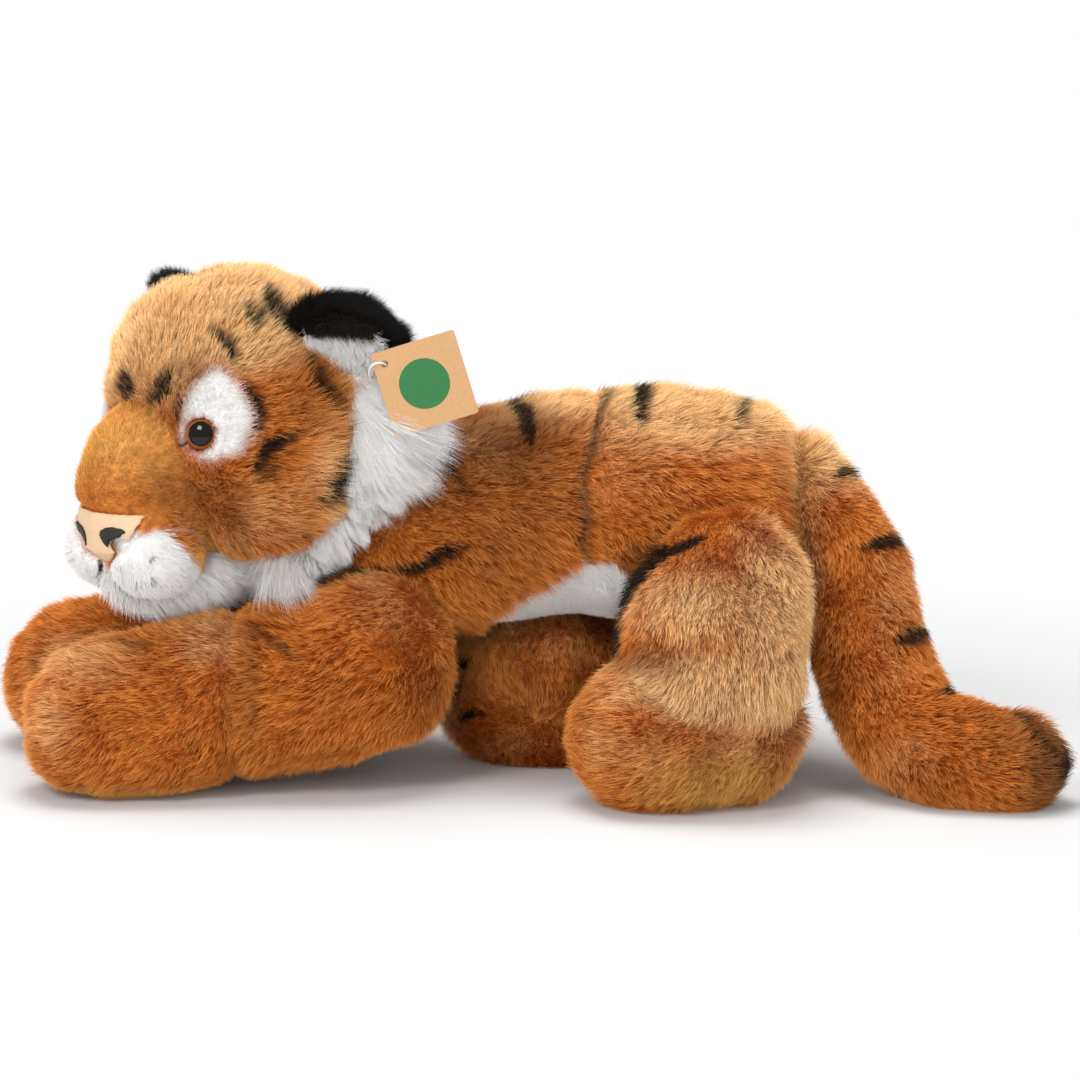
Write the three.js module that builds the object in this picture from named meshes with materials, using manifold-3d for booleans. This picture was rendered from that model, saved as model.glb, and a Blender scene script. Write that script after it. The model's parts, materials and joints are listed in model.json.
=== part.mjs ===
// A plush tiger that lies on its front, in millimetres: +X towards the tail, the near side at -Y, +Z up.
// Every stuffed piece is drawn at the fabric, where the fur has its roots.
// The hard part is how the stuffed pieces meet: each is a smooth swelling form, the smaller one is cut by the
// larger one, and every limb is also cut by what it passes when its seam flexes, so that nothing rubs.

import * as THREE from 'three';
import { mergeVertices } from 'three/addons/utils/BufferGeometryUtils.js';
import Module from 'manifold-3d';

const wasm = await Module();
wasm.setup();

// Fits that all pieces share
const seam_gap = 0.35;
const flat_depth = 0.5;
const fabric_thickness = 3;

// Torso: a chest tube and fuller hindquarters that meet at a seam round the waist
const torso_length = 284;
const torso_width = 140;
const torso_depth = 144;
const torso_height = 128;
const torso_front = -138;
const waist_seam = 36;
const waist_lean = 9;
const belly_set_in = 111;
const belly_length = 144;
const belly_width = 124;
const belly_top = 125;

// Neck and head: the head looks to the near side
const neck_set_in = 30;
const neck_flex = 10;
const head_length = 132;
const head_width = 144;
const head_height = 132;
const head_ahead = 30;
const head_rise = 198;
const head_offset = -12;
const head_turn = 42;
const muzzle_length = 96;
const muzzle_width = 76;
const muzzle_height = 72;
const whisker_pad_length = 48;
const whisker_pad_width = 46;
const whisker_pad_height = 42;
const chin_length = 94;
const chin_width = 60;
const chin_height = 32;

// Face trim
const nose_width = 56;
const nose_height = 29;
const nostril_width = 12;
const nostril_height = 9;
const nostril_spacing = 34;
const velour_thickness = 2;
const eye_patch_width = 42;
const eye_patch_height = 51;
const eye_diameter = 19;
const eye_rise = 6;
const eye_rim = 1.2;
const eye_set_in = 2.5;
const shank_diameter = 5;
const shank_length = 14;
const washer_diameter = 15;
const washer_thickness = 2;
const washer_depth = 8;
const washer_fit = 0.3;

// Ears
const ear_width = 66;
const ear_height = 50;
const ear_thickness = 22;
const ear_hollow = 9;
const ear_wall_share = 0.84;
const ear_flex = 8;
const ear_sweep_slack = 0.5;

// Ruff behind the cheeks
const ruff_height = 130;
const ruff_thickness = 28;

// Front legs
const front_leg_length = 214;
const front_leg_width = 76;
const front_leg_depth = 76;
const front_leg_climb = 46;
const front_leg_toe_out = 13;
const near_leg_side = 66;
const far_leg_side = 48;
const front_paw_length = 106;
const shoulder_along = 82;
const far_paw_lead = 26;
const shoulder_set_in = 30;
const front_leg_flex = 6;
const sole_thickness = 7;

// Hind legs: the near one hangs over the side, the far one lies under the rump with its paw turned out
const thigh_girth = 87;
const near_hip_set_in = 40;
const near_hip_side = 38;
const near_hip_height = 130;
const near_thigh_reach = 17;
const near_thigh_spread = 58;
const near_paw_length = 106;
const near_paw_width = 76;
const near_paw_depth = 76;
const near_heel_back = 23;
const near_heel_side = 72;
const far_hip_set_in = 24;
const far_hip_side = 42;
const far_thigh_clear = 46;
const far_thigh_spread = 12;
const far_thigh_girth = 88;
const far_paw_length = 60;
const far_paw_width = 105;
const far_ankle_lag = 14;
const far_ankle_side = 36;
const far_paw_depth = 86;
const hind_leg_flex = 6;

// Tail
const tail_root_set_in = 38;
const tail_root_height = 158;
const tail_reach = 162;
const tail_sweep = 100;
const tail_girth = 50;
const tail_flex = 7;

// Hang tag on its thread
const tag_side = 46;
const tag_thickness = 1;
const tag_corner = 1.5;
const tag_hole = 4;
const tag_hole_from_side = 6;
const tag_hole_from_top = 7;
const tag_tilt = 17;
const thread_diameter = 1;
const thread_clear = 1.2;
const thread_loop_length = 30;
const thread_overlap = 3.6;
const thread_dip = 35;

// How finely the forms are divided
const torso_rings = 14;
const torso_sides = 16;
const limb_rings = 10;
const limb_sides = 12;
const tail_rings = 15;
const head_rings = 12;
const head_sides = 20;
const small_rings = 8;
const small_sides = 12;
const sweep_steps = 1;
const eye_steps = 5;
const outline_steps = 6;
const corner_steps = 3;
const thread_steps = 20;
const thread_sides = 6;

// Where each form swells: shares of the length, sideways reach, rise, width and depth of the piece
const torso_shares = [
  [0, 0, 1, 0.29, 0.31],
  [0.11, 0, 1.02, 0.34, 0.35],
  [0.27, 0, 1.02, 0.38, 0.35],
  [0.44, 0, 1.09, 0.41, 0.375],
  [0.61, 0, 1.14, 0.465, 0.39],
  [0.78, 0, 1.06, 0.5, 0.45],
  [0.92, 0, 1, 0.46, 0.455],
  [1, 0, 1, 0.39, 0.37],
];
const front_leg_shares = [
  [0, 0, 0, 0.39, 0.44],
  [0.13, 0, 0, 0.485, 0.5],
  [0.31, 0.08, 0.1, 0.5, 0.53],
  [0.52, 0.31, 0.36, 0.46, 0.52],
  [0.74, 0.62, 0.5, 0.487, 0.53],
  [0.9, 1, 0.85, 0.487, 0.6],
  [1, 1.38, 1, 0.44, 0.54],
];
const near_thigh_shares = [
  [0, 0, 0, 0.45, 0.45],
  [0.5, 0.48, 0.2, 0.48, 0.48],
  [0.9, 0.82, 0.5, 0.5, 0.51],
  [1, 0.94, 0.79, 0.49, 0.49],
  [1, 0.97, 1, 0.45, 0.45],
];
const near_paw_shares = [
  [0, 0, 0.09, 0.44, 0.45],
  [0.25, -0.08, 0.02, 0.5, 0.5],
  [0.62, -0.2, 0, 0.5, 0.5],
  [1, -0.25, -0.02, 0.42, 0.44],
];
const far_thigh_shares = [
  [0, 0, 0, 0.42, 0.44],
  [0.28, 0, 0, 0.49, 0.5],
  [0.6, 0.38, 0.02, 0.5, 0.5],
  [1, 1, 0.04, 0.45, 0.45],
];
const far_paw_shares = [
  [0, 0, 0, 0.43, 0.44],
  [0.33, 0.07, 0, 0.5, 0.5],
  [0.72, 0.16, 0, 0.48, 0.48],
  [1, 0.24, -0.01, 0.4, 0.4],
];
const tail_shares = [
  [0, 0, 0, 0.52, 0.52],
  [0.185, 0.02, 0.04, 0.54, 0.54],
  [0.375, 0.18, 0.31, 0.52, 0.52],
  [0.44, 0.47, 0.655, 0.51, 0.51],
  [0.55, 0.75, 0.9, 0.5, 0.5],
  [0.765, 0.93, 0.98, 0.47, 0.47],
  [1, 1, 0.99, 0.4, 0.4],
];

// Where the lobes of the head lie: forward, to its near side and up, then half sizes, as shares of the head
const cranium_share = { at: [-0.04, 0, 0.06], half: [0.5, 0.5, 0.5] };
const cheek_share = { at: [0.04, 0.264, -0.212], half: [0.364, 0.264, 0.318] };
const muzzle_at_share = [0.34, 0, -0.31];
const bridge_share = { at: [0.33, 0, -0.15], half: [0.32, 0.22, 0.23] };
const nose_lobe_share = { at: [0.54, 0, -0.43], half: [0.16, 0.23, 0.16] };
const whisker_pad_share = [0.5, 0.122, -0.505];
const chin_share = [0.27, 0, -0.61];
const nose_top_share = -0.335;
const nose_round_share = 0.55;
const nostril_height_share = 0.62;
const eye_share = [0.365, 0.27, -0.03];
const eye_look_share = [0.72, 0.68, 0.08];
const eye_patch_rise_share = 0.17;
const eye_patch_back_share = 0.2;
const ear_share = [-0.165, 0.5, 0.31];
const ear_look_share = [0.62, 0.7, -0.35];
const ear_up_share = [-0.05, 0.48, 0.87];
const ruff_spine_shares = [
  [-0.18, 0.46, 0.31, 0.32],
  [-0.29, 0.55, 0.06, 0.5],
  [-0.27, 0.54, -0.23, 0.54],
  [-0.14, 0.43, -0.49, 0.46],
  [0.03, 0.3, -0.65, 0.3],
];
const lobe_hardness = 9;
const dome_share = 0.95;
const weld_share = 0.001;
const halvings = 22;
const brow_share = 0.5;
const temple_share = 1 / 3;
const quarter_turn = Math.PI / 2;
const tag_hang_share = [-0.206, 0.685, 0.25];

// A closed mesh as a solid
function solid(geometry) {
  const plain = new THREE.BufferGeometry();
  plain.setAttribute('position', geometry.getAttribute('position'));
  plain.setIndex(geometry.index);
  const merged = mergeVertices(plain, seam_gap * weld_share);
  return new wasm.Manifold(new wasm.Mesh({
    numProp: 3,
    vertProperties: merged.attributes.position.array,
    triVerts: new Uint32Array(merged.index.array),
  }));
}

// A solid as a mesh geometry
function geometryOf(body) {
  const mesh = body.getMesh();
  const geometry = new THREE.BufferGeometry();
  const points = new Float32Array(mesh.vertProperties);
  geometry.setAttribute('position', new THREE.BufferAttribute(points, mesh.numProp));
  geometry.setIndex(new THREE.BufferAttribute(new Uint32Array(mesh.triVerts), 1));
  return geometry;
}

// Rings of points joined into one closed skin, with a point at each end
function skin(first, ringsOfPoints, last) {
  const sides = ringsOfPoints[0].length;
  const lastRing = ringsOfPoints.length - 1;
  const points = [first, ...ringsOfPoints.flat(), last];
  const faces = [];
  const place = (ring, side) => 1 + ring * sides + (side % sides);
  for (let side = 0; side < sides; side += 1) {
    faces.push(0, place(0, side + 1), place(0, side));
    faces.push(points.length - 1, place(lastRing, side), place(lastRing, side + 1));
    for (let ring = 0; ring < lastRing; ring += 1) {
      faces.push(place(ring, side), place(ring, side + 1), place(ring + 1, side));
      faces.push(place(ring, side + 1), place(ring + 1, side + 1), place(ring + 1, side));
    }
  }
  const geometry = new THREE.BufferGeometry().setFromPoints(points);
  geometry.setIndex(faces);
  return geometry;
}

// Rows of points that close on themselves, like a ring
function ringSkin(rows) {
  const sides = rows[0].length;
  const faces = [];
  const place = (row, side) => (row % rows.length) * sides + (side % sides);
  for (let row = 0; row < rows.length; row += 1) {
    for (let side = 0; side < sides; side += 1) {
      faces.push(place(row, side), place(row, side + 1), place(row + 1, side));
      faces.push(place(row, side + 1), place(row + 1, side + 1), place(row + 1, side));
    }
  }
  const geometry = new THREE.BufferGeometry().setFromPoints(rows.flat());
  geometry.setIndex(faces);
  return geometry;
}

// A stuffed limb or body: rounded sections that swell and taper along a smooth spine, with domed ends
function stuffed(stations, upward, rings, sides, grow = 0) {
  const spine = new THREE.CatmullRomCurve3(stations.map((station) => station.at));
  const swell = new THREE.CatmullRomCurve3(
    stations.map((station) => new THREE.Vector3(station.wide, station.high, 0)),
  );
  const domeAt = (station) => dome_share * (station.wide + station.high) / 2;
  const firstDome = domeAt(stations[0]);
  const lastDome = domeAt(stations[stations.length - 1]);
  const start = spine.getPoint(0);
  const end = spine.getPoint(1);
  const round = (distance, dome) => {
    const left = Math.max(0, 1 - distance / dome);
    return Math.sqrt(Math.max(0, 1 - left * left));
  };
  const rows = [];
  for (let ring = 1; ring < rings; ring += 1) {
    const share = (1 - Math.cos(Math.PI * ring / rings)) / 2;
    const middle = spine.getPoint(share);
    const forward = spine.getTangent(share);
    const across = new THREE.Vector3().crossVectors(upward, forward).normalize();
    const up = new THREE.Vector3().crossVectors(forward, across);
    const size = swell.getPoint(share);
    const rounding = round(middle.distanceTo(start), firstDome) * round(middle.distanceTo(end), lastDome);
    const row = [];
    for (let side = 0; side < sides; side += 1) {
      const turn = 2 * Math.PI * side / sides;
      row.push(middle.clone()
        .addScaledVector(across, Math.cos(turn) * (size.x * rounding + grow))
        .addScaledVector(up, Math.sin(turn) * (size.y * rounding + grow)));
    }
    rows.push(row);
  }
  const tip = (share, way) => spine.getPoint(share).addScaledVector(spine.getTangent(share), way * grow);
  return skin(tip(0, -1), rows, tip(1, 1));
}

// Stations from a table of shares: each place is a share of reach, spread and climb from the start
function stationsFrom(shares, start, reach, spread, climb, width, depth) {
  return shares.map(([along, out, rise, wide, high]) => ({
    at: new THREE.Vector3(
      start.x + along * reach,
      start.y + out * spread,
      start.z + rise * climb,
    ),
    wide: wide * width,
    high: high * depth,
  }));
}

// A round form with lobes that melt into each other, drawn outwards from its middle
function lobed(lobes, rings, sides, grow = 0) {
  const reach = Math.max(...lobes.map((lobe) => lobe.at.length() + lobe.half.length()));
  const fullness = (point) => {
    let sum = 0;
    for (const lobe of lobes) {
      const away = point.clone().sub(lobe.at).divide(lobe.half).length();
      sum += Math.exp(lobe_hardness * (1 - away));
    }
    return sum;
  };
  const surface = (way) => {
    let inside = 0;
    let outside = reach;
    for (let halving = 0; halving < halvings; halving += 1) {
      const middle = (inside + outside) / 2;
      if (fullness(way.clone().multiplyScalar(middle)) > 1) inside = middle;
      else outside = middle;
    }
    return way.clone().multiplyScalar(inside + grow);
  };
  const rows = [];
  for (let ring = 1; ring < rings; ring += 1) {
    const fall = Math.PI * ring / rings;
    const row = [];
    for (let side = 0; side < sides; side += 1) {
      const turn = 2 * Math.PI * side / sides;
      row.push(surface(new THREE.Vector3(
        Math.sin(fall) * Math.cos(turn),
        Math.sin(fall) * Math.sin(turn),
        -Math.cos(fall),
      )));
    }
    rows.push(row);
  }
  return skin(surface(new THREE.Vector3(0, 0, -1)), rows, surface(new THREE.Vector3(0, 0, 1)));
}

// One lobe by itself, about its own middle
function lobe(half, rings, sides, grow = 0) {
  return lobed([{ at: new THREE.Vector3(), half }], rings, sides, grow);
}

// A solid shape moved to a place
function placed(geometry, matrix) {
  return solid(geometry.clone().applyMatrix4(matrix));
}

// A box from its lowest to its highest corner
function boxBetween(low, high) {
  const size = high.clone().sub(low);
  const middle = low.clone().add(high).multiplyScalar(0.5);
  return solid(new THREE.BoxGeometry(size.x, size.y, size.z).translate(middle.x, middle.y, middle.z));
}

// All that a geometry covers, seen from a piece that turns by up to flex degrees either way about the axis
function sweptPast(geometry, pivot, axis, flex) {
  let covered = solid(geometry);
  for (let step = -sweep_steps; step <= sweep_steps; step += 1) {
    const turn = THREE.MathUtils.degToRad(flex * step / sweep_steps);
    const matrix = new THREE.Matrix4().makeTranslation(pivot.x, pivot.y, pivot.z)
      .multiply(new THREE.Matrix4().makeRotationAxis(axis, turn))
      .multiply(new THREE.Matrix4().makeTranslation(-pivot.x, -pivot.y, -pivot.z));
    covered = covered.add(placed(geometry, matrix));
  }
  return covered;
}

const upright = new THREE.Vector3(0, 0, 1);
const lengthwise = new THREE.Vector3(1, 0, 0);
const sideways = new THREE.Vector3(0, 1, 0);
const far_out = 2 * torso_length;

// A form let down until it is pressed flat on the floor
function settled(geometry) {
  geometry.computeBoundingBox();
  return geometry.translate(0, 0, -flat_depth - geometry.boundingBox.min.z);
}

const floor_block = boxBetween(
  new THREE.Vector3(-far_out, -far_out, -far_out),
  new THREE.Vector3(far_out, far_out, 0),
);

// Torso
const torso_end = torso_front + torso_length;
const torso_start = new THREE.Vector3(torso_front, 0, 0);
const torso_stations = stationsFrom(
  torso_shares, torso_start, torso_length, 0, torso_height, torso_width, torso_depth,
);
const torsoForm = (grow) => stuffed(torso_stations, upright, torso_rings, torso_sides, grow);
const torso_whole = solid(torsoForm(0));
const torso_core = solid(torsoForm(-fabric_thickness));
const torso_core_less = solid(torsoForm(-fabric_thickness - seam_gap));
const torso_clear = torsoForm(seam_gap);

// The white panel under the belly is an oval let into the torso
function bellyRegion(grow) {
  const post = new THREE.CylinderGeometry(1, 1, belly_top + grow, torso_sides + torso_sides);
  post.rotateX(quarter_turn);
  post.scale(belly_length / 2 + grow, belly_width / 2 + grow, 1);
  post.translate(torso_end - belly_set_in, 0, (belly_top + grow) / 2);
  return solid(post);
}
const belly_panel = torso_whole.intersect(bellyRegion(0)).subtract(torso_core);
const torso_skinned = torso_whole.subtract(bellyRegion(seam_gap).subtract(torso_core_less));
function behindWaist(shift) {
  const block = new THREE.BoxGeometry(far_out, far_out, far_out);
  block.translate(far_out / 2 + shift, 0, 0);
  block.rotateY(THREE.MathUtils.degToRad(waist_lean));
  return solid(block.translate(waist_seam, 0, torso_height + torso_depth / 2));
}
const chest_and_back = torso_skinned.subtract(behindWaist(-seam_gap / 2));
const hindquarters = torso_skinned.intersect(behindWaist(seam_gap / 2));

// Head frame: x forward along the snout, y to the near cheek, z up
const turn_of_head = THREE.MathUtils.degToRad(head_turn);
const head_forward = new THREE.Vector3(-Math.cos(turn_of_head), -Math.sin(turn_of_head), 0);
const head_near = new THREE.Vector3(Math.sin(turn_of_head), -Math.cos(turn_of_head), 0);
const head_middle = new THREE.Vector3(torso_front - head_ahead, head_offset, head_rise);
const head_frame = new THREE.Matrix4()
  .makeBasis(head_forward, head_near, upright.clone().negate())
  .multiply(new THREE.Matrix4().makeScale(1, 1, -1))
  .premultiply(new THREE.Matrix4().makeTranslation(head_middle.x, head_middle.y, head_middle.z));
const head_size = new THREE.Vector3(head_length, head_width, head_height);
const headPoint = (share) => new THREE.Vector3(...share).multiply(head_size);
const mirrored = (vector) => new THREE.Vector3(vector.x, -vector.y, vector.z);
const headLobe = ({ at, half }, mirror = false) => ({
  at: mirror ? mirrored(headPoint(at)) : headPoint(at),
  half: headPoint(half),
});

// In the head frame a mirrored matrix turns faces inside out, so they are turned back
function placedOnHead(geometry, matrix = new THREE.Matrix4()) {
  const whole = head_frame.clone().multiply(matrix);
  const moved = geometry.clone().applyMatrix4(whole);
  if (whole.determinant() < 0) {
    const order = moved.index.array;
    for (let corner = 0; corner < order.length; corner += 3) {
      [order[corner], order[corner + 1]] = [order[corner + 1], order[corner]];
    }
  }
  return moved;
}

const skull_lobes = [headLobe(cranium_share), headLobe(cheek_share), headLobe(cheek_share, true)];
const skullForm = (grow) => placedOnHead(lobed(skull_lobes, head_rings, head_sides, grow));
const neck_pivot = new THREE.Vector3(torso_front + neck_set_in, 0, torso_height);
const torso_passing_head = sweptPast(torso_clear, neck_pivot, upright, neck_flex);
const skull = solid(skullForm(0)).subtract(torso_passing_head);
const skull_core = solid(skullForm(-fabric_thickness));
const skull_core_less = solid(skullForm(-fabric_thickness - seam_gap));
const skull_clear = solid(skullForm(seam_gap));

// Muzzle with its bridge, and the nose at its end
const muzzle_lobes = [
  {
    at: headPoint(muzzle_at_share),
    half: new THREE.Vector3(muzzle_length / 2, muzzle_width / 2, muzzle_height / 2),
  },
  headLobe(bridge_share),
  headLobe(nose_lobe_share),
];
const muzzle_middle = muzzle_lobes[0].at;
const muzzle_shift = new THREE.Matrix4().makeTranslation(muzzle_middle.x, muzzle_middle.y, muzzle_middle.z);
const lobesAboutMuzzle = muzzle_lobes.map((each) => ({
  at: each.at.clone().sub(muzzle_middle),
  half: each.half,
}));
const muzzleForm = (grow) => placedOnHead(
  lobed(lobesAboutMuzzle, head_rings, head_sides, grow),
  muzzle_shift,
);
const muzzle_whole = solid(muzzleForm(0)).subtract(skull_clear);
const muzzle_core = solid(muzzleForm(-velour_thickness));
const muzzle_core_less = solid(muzzleForm(-velour_thickness - seam_gap));
const muzzle_clear = solid(muzzleForm(seam_gap));

// A prism along a way in the head frame, from an outline in the plane square to it
function headPrism(outline, at, way, up, length) {
  const across = new THREE.Vector3().crossVectors(up, way).normalize();
  const level = new THREE.Vector3().crossVectors(way, across);
  const matrix = new THREE.Matrix4().makeBasis(across, level, way).setPosition(at);
  const prism = new THREE.ExtrudeGeometry(outline, {
    depth: length,
    bevelEnabled: false,
    curveSegments: outline_steps,
  });
  prism.translate(0, 0, -length / 2);
  prism.setIndex([...Array(prism.attributes.position.count).keys()]);
  return solid(placedOnHead(prism, matrix));
}

// The nose pad is a rounded triangle, wide at the top
function noseOutline(grow) {
  const half = nose_width / 2 + grow;
  const top = grow;
  const bottom = -nose_height - grow;
  const outline = new THREE.Shape();
  outline.moveTo(-half, top);
  outline.lineTo(half, top);
  outline.quadraticCurveTo(half, nose_round_share * bottom, 0, bottom);
  outline.quadraticCurveTo(-half, nose_round_share * bottom, -half, top);
  return outline;
}
const nose_at = new THREE.Vector3(muzzle_middle.x + muzzle_length / 2, 0, nose_top_share * head_height);
const nosePrism = (grow) => headPrism(noseOutline(grow), nose_at, lengthwise, upright, muzzle_length);
const nose_sheet = muzzle_whole.intersect(nosePrism(0)).subtract(muzzle_core);
const muzzle_open = muzzle_whole.subtract(nosePrism(seam_gap).subtract(muzzle_core_less));

// Nostrils: satin-stitched ovals through the nose pad
function nostril(side, grow) {
  const outline = new THREE.Shape();
  outline.absellipse(0, 0, nostril_width / 2 + grow, nostril_height / 2 + grow, 0, 2 * Math.PI, false, 0);
  const at = new THREE.Vector3(
    nose_at.x,
    side * nostril_spacing / 2,
    nose_at.z - nostril_height_share * nose_height,
  );
  return headPrism(outline, at, lengthwise, upright, muzzle_length);
}
const nostril_near = nose_sheet.intersect(nostril(1, 0));
const nostril_far = nose_sheet.intersect(nostril(-1, 0));
const nose_pad = nose_sheet.subtract(nostril(1, seam_gap)).subtract(nostril(-1, seam_gap));

// Whisker pads and chin under the nose
const pad_half = new THREE.Vector3(whisker_pad_length / 2, whisker_pad_width / 2, whisker_pad_height / 2);
function whiskerPad(mirror, grow) {
  const at = mirror ? mirrored(headPoint(whisker_pad_share)) : headPoint(whisker_pad_share);
  const matrix = new THREE.Matrix4().makeTranslation(at.x, at.y, at.z);
  return solid(placedOnHead(lobe(pad_half, small_rings, small_sides, grow), matrix));
}
const whisker_pad_near = whiskerPad(false, 0).subtract(skull_clear).subtract(muzzle_clear);
const whisker_pad_far = whiskerPad(true, 0).subtract(skull_clear).subtract(muzzle_clear)
  .subtract(whiskerPad(false, seam_gap));
const chin_half = new THREE.Vector3(chin_length / 2, chin_width / 2, chin_height / 2);
const chin_at = headPoint(chin_share);
const chin = solid(placedOnHead(
  lobe(chin_half, small_rings, small_sides),
  new THREE.Matrix4().makeTranslation(chin_at.x, chin_at.y, chin_at.z),
)).subtract(skull_clear).subtract(muzzle_clear)
  .subtract(whiskerPad(false, seam_gap)).subtract(whiskerPad(true, seam_gap));

// Eye patches: white plush let into the face, narrow at the top
function eyePatchOutline(grow) {
  const half = eye_patch_width / 2 + grow;
  const up = eye_patch_height / 2 + grow;
  const outline = new THREE.Shape();
  outline.moveTo(0, up);
  const brow = brow_share * half;
  const temple = -temple_share * up;
  outline.bezierCurveTo(brow, up, half, 0, half, temple);
  outline.bezierCurveTo(half, -up, -half, -up, -half, temple);
  outline.bezierCurveTo(-half, 0, -brow, up, 0, up);
  return outline;
}
const sideOf = (share, side) => new THREE.Vector3(share[0], side * share[1], share[2]);
function eyePlace(side) {
  const look = sideOf(eye_look_share, side).normalize();
  const at = sideOf(eye_share, side).multiply(head_size);
  return { look, at };
}
function eyePatchPrism(side, grow) {
  const { look, at } = eyePlace(side);
  const back = new THREE.Vector3().crossVectors(upright, look).normalize();
  const middle = at.clone()
    .addScaledVector(back, side * eye_patch_back_share * eye_patch_width)
    .addScaledVector(upright, eye_patch_rise_share * eye_patch_height);
  return headPrism(eyePatchOutline(grow), middle, look, upright, eye_patch_height);
}

// A domed plastic eye with a shank, and the lock washer that holds it from inside
const shank_radius = shank_diameter / 2;
function eyeProfile() {
  const radius = eye_diameter / 2;
  const points = [new THREE.Vector2(0, -shank_length), new THREE.Vector2(shank_radius, -shank_length)];
  points.push(new THREE.Vector2(shank_radius, -eye_rim));
  points.push(new THREE.Vector2(radius, -eye_rim));
  for (let step = 0; step < eye_steps; step += 1) {
    const turn = quarter_turn * step / eye_steps;
    points.push(new THREE.Vector2(radius * Math.cos(turn), eye_rise * Math.sin(turn)));
  }
  points.push(new THREE.Vector2(0, eye_rise));
  return points;
}
function washerProfile(grow) {
  const inner = shank_radius + washer_fit - grow;
  const outer = washer_diameter / 2 + grow;
  const low = -washer_depth - washer_thickness - grow;
  const high = -washer_depth + grow;
  return [
    new THREE.Vector2(inner, low),
    new THREE.Vector2(outer, low),
    new THREE.Vector2(outer, high),
    new THREE.Vector2(inner, high),
    new THREE.Vector2(inner, low),
  ];
}
function rodProfile(radius, low, high) {
  return [
    new THREE.Vector2(0, low),
    new THREE.Vector2(radius, low),
    new THREE.Vector2(radius, high),
    new THREE.Vector2(0, high),
  ];
}
function turnedOnEye(profile, side) {
  const { look, at } = eyePlace(side);
  const across = new THREE.Vector3().crossVectors(upright, look).normalize();
  const level = new THREE.Vector3().crossVectors(look, across);
  const seat = at.clone().addScaledVector(look, -eye_set_in);
  const matrix = new THREE.Matrix4().makeBasis(across, look, level.negate()).setPosition(seat);
  const turned = new THREE.LatheGeometry(profile, small_sides);
  return solid(placedOnHead(turned, matrix));
}
const pocket_radius = washer_diameter / 2 + seam_gap;
function eyeRoom(side) {
  const room = turnedOnEye(rodProfile(eye_diameter / 2 + seam_gap, -eye_rim - seam_gap, eye_diameter), side);
  const bore = turnedOnEye(rodProfile(shank_radius + seam_gap, -shank_length - seam_gap, 0), side);
  const pocket = turnedOnEye(
    rodProfile(pocket_radius, -washer_depth - washer_thickness - seam_gap, -washer_depth + seam_gap),
    side,
  );
  return room.add(bore).add(pocket);
}
const eye_rooms = eyeRoom(1).add(eyeRoom(-1));
const eyePatch = (side) => skull.intersect(eyePatchPrism(side, 0)).subtract(skull_core)
  .subtract(muzzle_clear).subtract(eye_rooms);
const both_patches = eyePatchPrism(1, seam_gap).add(eyePatchPrism(-1, seam_gap)).subtract(skull_core_less);

// Ears: a black cup with a white lining, sewn to the crown
function earFrame(side) {
  const look = sideOf(ear_look_share, side).normalize();
  const across = new THREE.Vector3().crossVectors(sideOf(ear_up_share, side), look).normalize();
  const up = new THREE.Vector3().crossVectors(look, across);
  return { look, across, up, at: sideOf(ear_share, side).multiply(head_size) };
}
const ear_half = new THREE.Vector3(ear_width / 2, ear_height / 2, ear_thickness / 2);
const hollow_half = ear_half.clone().multiplyScalar(ear_wall_share);
function earCup(side, half, forward, grow) {
  const { look, across, up, at } = earFrame(side);
  const matrix = new THREE.Matrix4().makeBasis(across, up, look)
    .setPosition(at.clone().addScaledVector(look, forward));
  return solid(placedOnHead(lobe(half, small_rings, small_sides, grow), matrix));
}
const earHinge = (side) => {
  const { at, across } = earFrame(side);
  return {
    pivot: at.clone().multiplyScalar(ear_wall_share).applyMatrix4(head_frame),
    axis: across.clone().transformDirection(head_frame),
  };
};
function ear(side) {
  const { pivot, axis } = earHinge(side);
  const passing = sweptPast(skullForm(seam_gap), pivot, axis, ear_flex);
  const hollow = earCup(side, hollow_half, ear_hollow, 0);
  const back = earCup(side, ear_half, 0, 0).subtract(hollow).subtract(passing);
  const lining = earCup(side, hollow_half, ear_hollow, -seam_gap).intersect(earCup(side, ear_half, 0, 0))
    .subtract(earCup(side, hollow_half, ear_hollow + fabric_thickness, 0)).subtract(passing);
  return { back, lining };
}
const ear_near = ear(1);
const ear_far = ear(-1);

// Ruff: a long-haired strip round the back of each cheek
function ruffForm(side, grow) {
  const stations = ruff_spine_shares.map(([forward, out, rise, swell]) => ({
    at: new THREE.Vector3(forward * head_length, side * out * head_width, rise * ruff_height),
    wide: swell * ruff_thickness,
    high: swell * ruff_thickness,
  }));
  return placedOnHead(stuffed(stations, lengthwise, small_rings, small_sides, grow));
}
function ruff(side) {
  const sweeps = [1, -1].map((each) => {
    const { pivot, axis } = earHinge(each);
    const whole = placedOnHead(
      lobe(ear_half, small_rings, small_sides, seam_gap + ear_sweep_slack), earMatrix(each),
    );
    return sweptPast(whole, pivot, axis, ear_flex);
  });
  return solid(ruffForm(side, 0)).subtract(skull_clear).subtract(torso_passing_head)
    .subtract(sweeps[0]).subtract(sweeps[1]);
}
function earMatrix(side) {
  const { look, across, up, at } = earFrame(side);
  return new THREE.Matrix4().makeBasis(across, up, look).setPosition(at);
}
const ruff_near = ruff(1);
const ruff_far = ruff(-1);

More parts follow.
